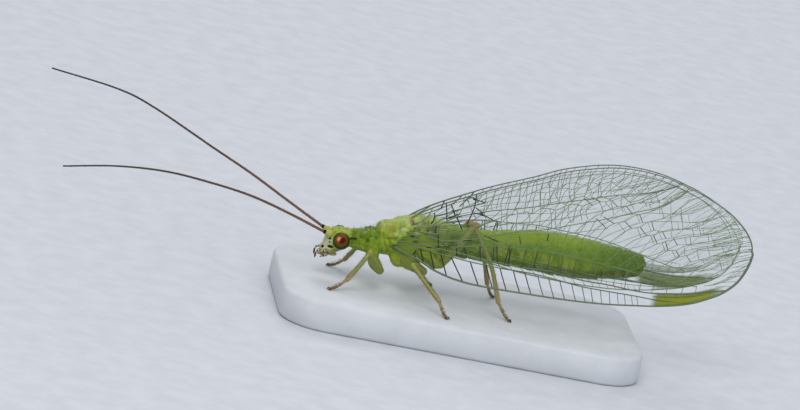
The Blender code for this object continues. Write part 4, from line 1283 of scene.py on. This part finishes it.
# Sets of veins with whether they bend sharply, and their radius, tone and mark
DRAWN_VEINS = (
    (BENT_LINES, True, 0.018, 0.55, 0.12), (VEINLETS, False, 0.0165, 0.6, 0.10),
    (CELL_WALLS, False, 0.0160, 0.6, 0.12), (INNER_BRANCHES, False, 0.0165, 0.45, 0.05),
    (OUTER_BRANCHES, True, 0.0165, 0.5, 0.05), (DARK_STEPS, True, 0.021, 0.9, 0.85),
    (PALE_STEPS, True, 0.0150, 0.7, 0.15),
)
PICTURE_STEP = 2.5
PICTURE_ROUNDS = 14


def along(points, u):
    """q of a long vein at a given u."""
    return float(np.interp(u, [p[0] for p in points], [p[1] for p in points]))


def wing_share(x, z):
    """u and q of a place on the forewing, seen from the side."""
    front, hind = MARGINS["forewing"]
    u = (x - front[0][0]) / (front[0][-1] - front[0][0])
    start, end = float(np.interp(x, *front)), float(np.interp(x, *hind))
    return min(max(u, 0.0), 1.0), min(max((z - start) / (end - start), 0.0), 1.0)


def from_picture(across, down):
    """u and q of the near forewing's point that the photo's view shows at a pixel."""
    right, top, back = view_axes()
    eye = CAMERA_TARGET + back * CAMERA_DISTANCE
    shift = right * (across - PICTURE_CENTRE[0]) - top * (down - PICTURE_CENTRE[1])
    ray = shift * PIXEL_SIZE - back * CAMERA_DISTANCE
    y = -WING_FRONT_Y
    for _ in range(PICTURE_ROUNDS):
        place = eye + ray * ((y - eye.y) / ray.y)
        u, q = wing_share(place.x, place.z)
        y = -forewing_y(place.x, q)
    return u, q


def path_length(points):
    return sum(math.dist(a, b) for a, b in zip(points, points[1:]))


def straight(points, count):
    """Points on the straight pieces between the given ones."""
    steps = [0.0]
    for a, b in zip(points, points[1:]):
        steps.append(steps[-1] + math.dist(a, b))
    places = [steps[-1] * i / (count - 1) for i in range(count)]
    return list(zip(*(np.interp(places, steps, [p[k] for p in points]) for k in range(2))))


def drawn(points, bent=False):
    """A vein given in pixels, as points in u and q."""
    count = max(3, int(path_length(points) / PICTURE_STEP))
    path = straight(points, count) if bent or len(points) == 2 else curve(points, count)
    return [from_picture(*point) for point in path]


def fork(points, gap, spread):
    """The side twig where a branch nears the margin."""
    end = Vector(points[-1])
    start = next(Vector(p) for p in reversed(points) if (Vector(p) - end).length > gap)
    run = (end - start).normalized()
    across = Vector((-run.y, run.x))
    return start, start.lerp(end, 0.30) + across * spread * 0.85, end + across * spread


def trunk_veins(middle_end):
    """Long veins and front cross-veins, each as (points in u and q, radius, tone, mark)."""
    veins = []
    for name, (points, radius, tone) in LONG_VEINS.items():
        if name == "middle":
            points = tuple(point for point in points if point[0] < middle_end)
        if name in DARKENED_VEINS:
            root = tuple(point for point in points if point[0] <= DARKENED_FROM)
            rest = tuple(point for point in points if point[0] >= root[-1][0])
            veins.append((root, radius * 0.85, tone + 0.3, 0.18))
            veins.append((rest, radius, 0.8, 0.45))
        else:
            veins.append((points, radius, tone, 0.32 if name in EDGE_VEINS else 0.10))
    under, main, sector = (LONG_VEINS[name][0] for name in ("under_front", "main", "sector"))
    for u in FRONT_BARS:
        lean = along(BAR_LEANS, u)
        dark = 1.0 if u < 0.38 else 0.62 * (1.0 - ease(0.45, 0.75, u))
        top = along(under, u)
        points = ((u, top), (u + lean * 0.42, top * 0.55), (u + lean, 0.0))
        veins.append((points, 0.0155 + 0.0095 * dark, 0.7, dark))
    draw = random.Random(5)
    u = 0.13
    while u < 0.86:
        lean = draw.uniform(-0.004, 0.008)
        ends = ((u, along(main, u)), (u + lean, along(sector, u + lean)))
        dark = 0.9 - 0.6 * float(ease(0.45, 0.60, u))
        veins.append((ends, 0.0165 + 0.004 * dark, 0.6, dark))
        u += 0.040 * draw.uniform(0.85, 1.15)
    return veins


def forewing_network(side):
    """Every vein of the forewing; the black lines near the root are drawn on the near wing."""
    veins = trunk_veins(1.0)
    veins.append((STIGMA_VEIN, 0.013, 0.2, 0.45))
    veins.extend((pair, 0.025, 0.9, 1.0) for pair in BLACK_VEINS)
    if side < 0:
        veins.extend((drawn(line), 0.025, 0.9, 1.0) for line in BLACK_LINES)
    for lines, bent, radius, tone, mark in DRAWN_VEINS:
        veins.extend((drawn(line, bent), radius, tone, mark) for line in lines)
    for line in OUTER_BRANCHES:
        veins.extend((drawn(fork(line, gap, spread)), 0.0125, 0.6, 0.05) for gap, spread in FORKS)
    veins.extend((drawn(bar), 0.0135, 0.7, 0.15) for bar in EDGE_BARS)
    for u in STIGMA_BARS:
        start = (u, along(LONG_VEINS["main"][0], u))
        veins.append(((start, (u + STIGMA_BAR_LEAN, 0.0)), 0.013, 0.6, 0.1))
    return veins


def hindwing_network():
    """A sparser net: the long veins, branches that end on the margin, and a few cross-veins."""
    veins = trunk_veins(0.6)
    sector, middle = (LONG_VEINS[name][0] for name in ("sector", "middle"))
    for i in range(9):
        u = 0.26 + 0.062 * i
        start = (u, along(middle if i < 6 else sector, u))
        points = (start, (u + 0.065, 0.5 * start[1] + 0.45), (u + 0.125 + 0.010 * i, 1.0))
        veins.append((points, 0.015, 0.5, 0.0))
    for i in range(4):
        u = 0.78 + 0.03 * i
        points = ((u, along(sector, u)), (0.5 * u + 0.49, 0.42), (0.995, 0.55))
        veins.append((points, 0.015, 0.5, 0.0))
    return [
        (tuple((u, q * (0.55 + 0.45 * q)) for u, q in points), radius * 0.58, tone * 0.7, mark * 0.5)
        for points, radius, tone, mark in veins
    ]


# A vein that ends beyond this u runs along the margin
MARGIN_REACH = 0.99
# Steps for each unit of u and q, more along a thick margin
VEIN_DENSITY, MARGIN_DENSITY, DENSE_VEIN = 90, 360, 0.025
# How much thicker the margin gets towards the tip, on the near forewing and elsewhere
NEAR_EDGE_GAIN, EDGE_GAIN = 0.45, -0.42


def vein_path(points, density):
    """The steps of a vein; a list is one that is drawn in pixels and has its steps."""
    if isinstance(points, list):
        return points
    count = max(3, int(path_length(points) * density))
    return straight(points, count) if len(points) == 2 else curve(points, count)


def vein_width(u, edge):
    """A vein's width there as a share of its radius: most at the root, edge more at the tip."""
    return 1.05 - 0.25 * u + 0.25 * (1.0 - ease(0.0, 0.34, u)) + edge * ease(0.80, 0.95, u)


def build_veins(kind, side):
    name = kind + "_" + SIDE_NAMES[side]
    shapes = Shapes("tone", "mark")
    network = forewing_network(side) if kind == "forewing" else hindwing_network()
    for points, radius, tone, mark in network:
        if side > 0 and radius < FINE_VEIN:
            radius *= FAR_SLIMNESS
        on_margin = points[-1][0] >= MARGIN_REACH
        path = vein_path(points, MARGIN_DENSITY if on_margin and radius > DENSE_VEIN else VEIN_DENSITY)
        route = [wing_place(kind, side, u, min(max(q, 0.0), 1.0)) for u, q in path]
        edge = 0.0
        if on_margin and radius > FINE_VEIN:
            edge = NEAR_EDGE_GAIN if kind == "forewing" and side < 0 else EDGE_GAIN
        radii = [radius * vein_width(u, edge) for u, q in path]
        u, q = path[0]
        if kind == "forewing" and u == 0.0 and q < 0.7:
            x, y, z = EDGE_HINGE if q < 0.1 else WING_HINGE
            route.insert(0, Vector((x, side * y, z + HINGE_RISE * q)))
            radii.insert(0, radii[0] * 0.9)
        shapes.add(tube(route, radii, VEIN_SIDES), tone=tone, mark=mark)
    put(name + "_veins", shapes.mesh(name + "_veins"), VEIN, (name,))


MEMBRANE_COLUMNS, MEMBRANE_ROWS = 150, 40
TIP_CROWDING = 1.6
# Folds along the wing: how high they rise, and how fast they follow one another across it
FOLD_HEIGHT, FOLD_RATE = 0.022, 60.0


def build_membrane(kind, side):
    """A thin closed sheet between the veins."""
    name = kind + "_" + SIDE_NAMES[side] + "_membrane"
    strength, depth = HINDWING_STIGMA[0], STIGMA_DEPTH * HINDWING_STIGMA[1]
    if kind == "forewing":
        strength, depth = STIGMA_STRENGTH[side], STIGMA_DEPTH
    verts, stigma = [], []
    for face in (1, -1):
        for i in range(MEMBRANE_COLUMNS + 1):
            u = 1.0 - (1.0 - i / MEMBRANE_COLUMNS) ** TIP_CROWDING
            inside = ease(STIGMA_START - 0.015, STIGMA_START + 0.015, u)
            inside *= 1.0 - ease(STIGMA_END - 0.03, STIGMA_END + 0.02, u)
            for k in range(MEMBRANE_ROWS + 1):
                q = k / MEMBRANE_ROWS
                rise = FOLD_HEIGHT * math.sin(q * FOLD_RATE) * (1.0 - ease(0.5, 0.9, q))
                place = wing_place(kind, side, u, q)
                place.y += side * (face * WING_HALF_THICKNESS + rise)
                verts.append(place)
                stigma.append(float(strength * inside * (1.0 - ease(depth - 0.02, depth + 0.02, q))))
    rows = MEMBRANE_ROWS + 1
    layer = (MEMBRANE_COLUMNS + 1) * rows
    faces = []
    for i in range(MEMBRANE_COLUMNS):
        for k in range(MEMBRANE_ROWS):
            a = i * rows + k
            top = (a, a + 1, a + rows + 1, a + rows)
            faces.append(top[::side])
            faces.append(tuple(layer + v for v in top[::-side]))
    rim = [i * rows for i in range(MEMBRANE_COLUMNS + 1)]
    rim += [MEMBRANE_COLUMNS * rows + k for k in range(1, rows)]
    rim += [i * rows + MEMBRANE_ROWS for i in range(MEMBRANE_COLUMNS - 1, -1, -1)]
    rim += range(MEMBRANE_ROWS - 1, 0, -1)
    for a, b in zip(rim, rim[1:] + rim[:1]):
        faces.append((a, b, layer + b, layer + a)[::side])
    mesh = new_mesh(name, verts, faces)
    set_values(mesh, {"stigma": stigma})
    put(name, mesh, MEMBRANE)


# Fine hairs: each is a slim bent cone, closed at its root

HAIR_SINK = 0.02
HAIR_SIDES = 3
# Rings of a hair: how far along it each one lies, and its width as a share of the hair's radius
HAIR_RINGS = ((0.0, 1.0), (0.5, 0.7))
# A hair has this many vertices, and as many faces
HAIR_SIZE = 7
UV_PATCH = 0.0015
# Lengths from and to, and the radius at the root
DOWN_LENGTH, DOWN_RADIUS = (0.07, 0.13), 0.0038
BRISTLE_LENGTH, BRISTLE_RADIUS = (0.13, 0.22), 0.007
LEG_HAIR_LENGTH, LEG_HAIR_RADIUS = (0.6, 1.2), 0.0042
FRINGE_LENGTH, FRINGE_RADIUS = (0.045, 0.08), 0.0030
VEIN_HAIR_LENGTH, VEIN_HAIR_RADIUS = (0.07, 0.11), 0.0034
ANTENNA_HAIR_LENGTH, ANTENNA_HAIR_RADIUS = 0.062, 0.0032
# How many are tried on the skin, and how many grow on each vein, antenna ring's step and margin
SKIN_HAIRS, VEIN_HAIRS, RING_HAIRS = 9000, 110, 4
FRINGES = ((1.0, 620), (0.0, 420))
LEG_STEPS = 60
# How high a leg's hairs start and end at least
ROOT_CLEARANCE, TIP_CLEARANCE = 0.03, 0.01
# Where the body starts, how long it is and how high its axis lies, for the unwrapped skin
BODY_FRONT, BODY_LENGTH, BODY_AXIS = 3.3, 14.8, 2.4


def hair_mesh(name, hairs):
    """Hairs given as (root, direction, sag, length, radius, place on the unwrapped skin)."""
    verts, faces, patches = [], [], []
    turns = [2.0 * math.pi * k / HAIR_SIDES for k in range(HAIR_SIDES)]
    corners = [(math.cos(turn), math.sin(turn)) for turn in turns]
    for root, out, sag, length, radius, place in hairs:
        across = out.orthogonal().normalized()
        other = out.cross(across)
        first = len(verts)
        for share, width in HAIR_RINGS:
            reach = length * share - HAIR_SINK * (1.0 - share)
            centre = root + out * reach + sag * (length * share * share)
            verts.extend(centre + (across * c + other * s) * radius * width for c, s in corners)
        verts.append(root + out * length + sag * length)
        for k in range(HAIR_SIDES):
            a, b = first + k, first + (k + 1) % HAIR_SIDES
            faces.append((a, b, b + HAIR_SIDES, a + HAIR_SIDES))
            faces.append((a + HAIR_SIDES, b + HAIR_SIDES, first + HAIR_SIZE - 1))
        faces.append((first + 2, first + 1, first))
        patches.append(place)
    mesh = new_mesh(name, verts, faces)
    coords = []
    for i, face in enumerate(faces):
        u, v = patches[i // HAIR_SIZE]
        for index in face:
            c, s = corners[index % HAIR_SIZE % HAIR_SIDES]
            coords.extend((u + UV_PATCH * c, v + UV_PATCH * s))
    mesh.uv_layers.new(name="OFBake").data.foreach_set("uv", coords)
    return mesh


def uv_place(u, v):
    """A place on the unwrapped skin, with room for a hair's patch at the borders."""
    return tuple(min(max(value, UV_PATCH), 1.0 - UV_PATCH) for value in (u, v))


def body_place(point):
    """Where a point of the body lies on its unwrapped skin."""
    turn = math.atan2(point.y, point.z - BODY_AXIS) / (2.0 * math.pi)
    return uv_place((point.x + BODY_FRONT) / BODY_LENGTH, 0.5 + turn)


def skin_hairs(skin):
    """Short pale down all over, and longer dark bristles on the neck shield and crown."""
    to_insect = TO_MODEL.inverted()
    mesh = skin.data
    down, bristles = [], []
    draw = random.Random(3)
    for index in draw.sample(range(len(mesh.vertices)), SKIN_HAIRS):
        vertex = mesh.vertices[index]
        point = to_insect @ vertex.co
        out = Vector(vertex.normal)
        from_eye = math.dist((point.x, point.z), (EYE_CENTRE.x, EYE_CENTRE.z))
        beside_eye = from_eye < 0.42 and abs(point.y) > 0.4
        below_head = point.z < 1.45 and point.x < 0.0
        if beside_eye or below_head:
            continue
        stray = Vector([draw.uniform(-0.25, 0.25) for _ in range(3)])
        lean = (out * 0.55 + Vector((0.75, 0.0, 0.1)) + stray).normalized()
        if lean.dot(out) < 0.25:
            lean = (lean + out * 0.6).normalized()
        sag = Vector((0.18, 0.0, -0.10))
        place = body_place(point)
        on_crown = point.x < -0.75 and point.z > 2.05
        if on_crown and draw.random() < 0.30:
            lean = (lean + out * 0.8).normalized()
            length = draw.uniform(*BRISTLE_LENGTH)
            bristles.append((point, lean, sag * 0.5, length, BRISTLE_RADIUS, place))
        elif draw.random() < 0.8:
            down.append((point, lean, sag, draw.uniform(*DOWN_LENGTH), DOWN_RADIUS, place))
    put("skin_down", hair_mesh("skin_down", down), HAIR_PALE)
    put("skin_bristles", hair_mesh("skin_bristles", bristles), HAIR_DARK)


def leg_hairs():
    """Short dark hairs along the thighs, shins and toes."""
    hairs = []
    draw = random.Random(17)
    for row, (route, foot) in enumerate(LEGS.values()):
        hip, thigh, shin = leg_parts(route)
        toes = (shin[-1], (*foot, TOE_RADIUS))
        parts = (
            (thigh, THIGH_RADII, 110, 0.10), (shin, SHIN_RADII, 260, 0.10),
            (toes, (TOE_RADIUS, TOE_RADIUS), 90, 0.07),
        )
        for part, (points, radii, count, reach) in enumerate(parts):
            steps = [Vector(p) for p in curve(points, LEG_STEPS)]
            for _ in range(count):
                share = draw.uniform(0.08, 0.96)
                i = int(share * (len(steps) - 2))
                axis = (steps[i + 1] - steps[i]).normalized()
                across = axis.orthogonal().normalized()
                angle = draw.uniform(0.0, 2.0 * math.pi)
                out = across * math.cos(angle) + axis.cross(across) * math.sin(angle)
                point = steps[i] + out * smooth_through(radii, share) * 0.97
                if point.z < ROOT_CLEARANCE:
                    continue
                lean = (out * 0.7 + axis * 0.75).normalized()
                length = draw.uniform(*LEG_HAIR_LENGTH) * reach
                place = uv_place((part + share) / len(parts), (row + angle / (2.0 * math.pi)) / len(LEGS))
                hairs.append((point, lean, axis * 0.15, length, LEG_HAIR_RADIUS, place))
    hairs = [hair for hair in hairs if hair[0].z + (hair[1].z + hair[2].z) * hair[3] > TIP_CLEARANCE]
    put("leg_hairs", hair_mesh("leg_hairs", hairs), HAIR_DARK)


def wing_hairs(kind, side):
    """The fringe of the margin and short hairs along the long veins."""
    name = kind + "_" + SIDE_NAMES[side] + "_fringe"
    draw = random.Random(23)
    hairs = []
    for margin_q, count in FRINGES:
        for i in range(count):
            u = 0.06 + 0.93 * (i + draw.random()) / count
            point = wing_place(kind, side, u, margin_q)
            inner = wing_place(kind, side, u, abs(margin_q - 0.02))
            ahead = (wing_place(kind, side, min(u + 0.01, 1.0), margin_q) - point).normalized()
            out = ((point - inner).normalized() + ahead * draw.uniform(0.2, 0.7)).normalized()
            length = draw.uniform(*FRINGE_LENGTH)
            hairs.append((point, out, ahead * 0.2, length, FRINGE_RADIUS, uv_place(u, margin_q)))
    for points, radius, tone in (LONG_VEINS[vein] for vein in HAIRY_VEINS):
        for i in range(VEIN_HAIRS):
            u = 0.05 + 0.88 * (i + draw.random()) / VEIN_HAIRS
            if u > points[-1][0]:
                continue
            q = along(points, u)
            point = wing_place(kind, side, u, q)
            ahead = (wing_place(kind, side, u + 0.01, q) - point).normalized()
            lift = Vector((0.0, 0.0, draw.uniform(-0.5, 0.5)))
            out = (Vector((0.0, side, 0.0)) + ahead * 0.6 + lift).normalized()
            root = point + Vector((0.0, side * radius * 0.8, 0.0))
            length = draw.uniform(*VEIN_HAIR_LENGTH)
            hairs.append((root, out, ahead * 0.2, length, VEIN_HAIR_RADIUS, uv_place(u, q)))
    put(name, hair_mesh(name, hairs), HAIR_DARK)


def antenna_hairs(side):
    draw = random.Random(31)
    route = [Vector(p) for p in curve(ANTENNA_ROUTES[side], ANTENNA_STEPS + 1)]
    hairs = []
    for i in range(6, ANTENNA_STEPS - 1, 2):
        point = route[i]
        axis = (route[i + 1] - point).normalized()
        across = axis.orthogonal().normalized()
        share = i / ANTENNA_STEPS
        for _ in range(RING_HAIRS):
            angle = draw.uniform(0.0, 2.0 * math.pi)
            out = across * math.cos(angle) + axis.cross(across) * math.sin(angle)
            root = point + out * antenna_radius(share) * 0.95
            lean = (out * 0.5 + axis * 0.85).normalized()
            place = uv_place(share, angle / (2.0 * math.pi))
            hairs.append((root, lean, axis * 0.1, ANTENNA_HAIR_LENGTH, ANTENNA_HAIR_RADIUS, place))
    put("antenna_" + SIDE_NAMES[side] + "_hairs", hair_mesh("antenna_hairs", hairs), HAIR_DARK)


# Base and floor

BASE_LENGTH, BASE_WIDTH = 16.0, 10.0
BASE_CORNER, CORNER_STEPS = 2.0, 12
BASE_EDGE = 0.15
EDGE_MIDDLE = BASE_EDGE * 0.4
# Heights of the outline from the floor to the soles, and how far each one is drawn in
BASE_LEVELS = (
    (-FEET_LEVEL, BASE_EDGE), (-FEET_LEVEL + EDGE_MIDDLE, EDGE_MIDDLE), (-FEET_LEVEL + BASE_EDGE, 0.0),
    (-BASE_EDGE, 0.0), (-EDGE_MIDDLE, EDGE_MIDDLE), (0.0, BASE_EDGE),
)
CORNERS = ((1, 1, 0.0), (-1, 1, 90.0), (-1, -1, 180.0), (1, -1, 270.0))
FLOOR_HALF = 0.9


def build_base():
    """The base, with its top raised to the soles of the feet."""
    outline = []
    for along_x, along_y, start in CORNERS:
        x, y = along_x * (BASE_LENGTH / 2 - BASE_CORNER), along_y * (BASE_WIDTH / 2 - BASE_CORNER)
        for k in range(CORNER_STEPS + 1):
            angle = math.radians(start + 90.0 / CORNER_STEPS * k)
            outline.append((BASE_CENTRE_X + x, y, math.cos(angle), math.sin(angle)))
    verts = [
        (x + dx * (BASE_CORNER - inset), y + dy * (BASE_CORNER - inset), z)
        for z, inset in BASE_LEVELS for x, y, dx, dy in outline
    ]
    mesh = new_mesh("base", verts, loft_faces(len(BASE_LEVELS), len(outline)))
    put("base_slab", mesh, STAND, ("stand_base",))


def build_floor():
    corners = [(x * FLOOR_HALF, y * FLOOR_HALF, 0.0) for x, y in ((-1, -1), (1, -1), (1, 1), (-1, 1))]
    mesh = new_mesh("floor", corners, [(0, 1, 2, 3)])
    mesh.materials.append(FLOOR)
    floor = bpy.data.objects.new("floor", mesh)
    scene.collection.objects.link(floor)


# Camera and light, in metres of the shared frame

def place_camera():
    right, top, back = view_axes()
    data = bpy.data.cameras.new("camera")
    data.sensor_width = SENSOR
    data.lens = SENSOR * CAMERA_DISTANCE / (PIXEL_SIZE * 2.0 * PICTURE_CENTRE[0])
    data.clip_start = 0.01
    data.clip_end = 5.0
    camera = bpy.data.objects.new("camera", data)
    scene.collection.objects.link(camera)
    turn = Matrix((right, top, back)).transposed().to_4x4()
    camera.matrix_world = Matrix.Translation(TO_MODEL @ (CAMERA_TARGET + back * CAMERA_DISTANCE)) @ turn
    scene.camera = camera


# Each lamp: name, place, size, power and colour
LAMPS = (
    ("key", (-0.06, -0.16, 0.24), 0.18, 0.36, (1.0, 0.985, 0.96)),
    ("fill", (0.10, -0.24, 0.10), 0.22, 0.17, (0.93, 0.96, 1.0)),
    ("back", (0.02, 0.20, 0.20), 0.16, 0.20, (0.96, 0.98, 1.0)),
)
LAMP_AIM = Vector((0.0, 0.0, 0.003))
SKY, SKY_STRENGTH = (0.66, 0.69, 0.74), 0.73
# The folded wings put many clear layers behind one another
CLEAR_LAYERS = 24


def place_lights():
    for name, place, size, power, colour in LAMPS:
        data = bpy.data.lights.new(name, "AREA")
        data.size = size
        data.energy = power
        data.color = colour
        lamp = bpy.data.objects.new(name, data)
        scene.collection.objects.link(lamp)
        lamp.location = place
        lamp.rotation_euler = (LAMP_AIM - Vector(place)).to_track_quat("-Z", "Y").to_euler()
    world = bpy.data.worlds.new("sky")
    world.use_nodes = True
    background = world.node_tree.nodes["Background"]
    background.inputs["Color"].default_value = (*SKY, 1.0)
    background.inputs["Strength"].default_value = SKY_STRENGTH
    scene.world = world


skin_hairs(build_skin())
build_mouth()
for side in SIDES:
    build_eye(side)
    build_antenna(side)
    antenna_hairs(side)
    for kind in ("forewing", "hindwing"):
        build_veins(kind, side)
        build_membrane(kind, side)
        wing_hairs(kind, side)
for leg_name in LEGS:
    build_leg(leg_name)
leg_hairs()
build_base()
build_floor()
place_camera()
place_lights()
scene.view_settings.view_transform = "Standard"
scene.cycles.transparent_max_bounces = CLEAR_LAYERS
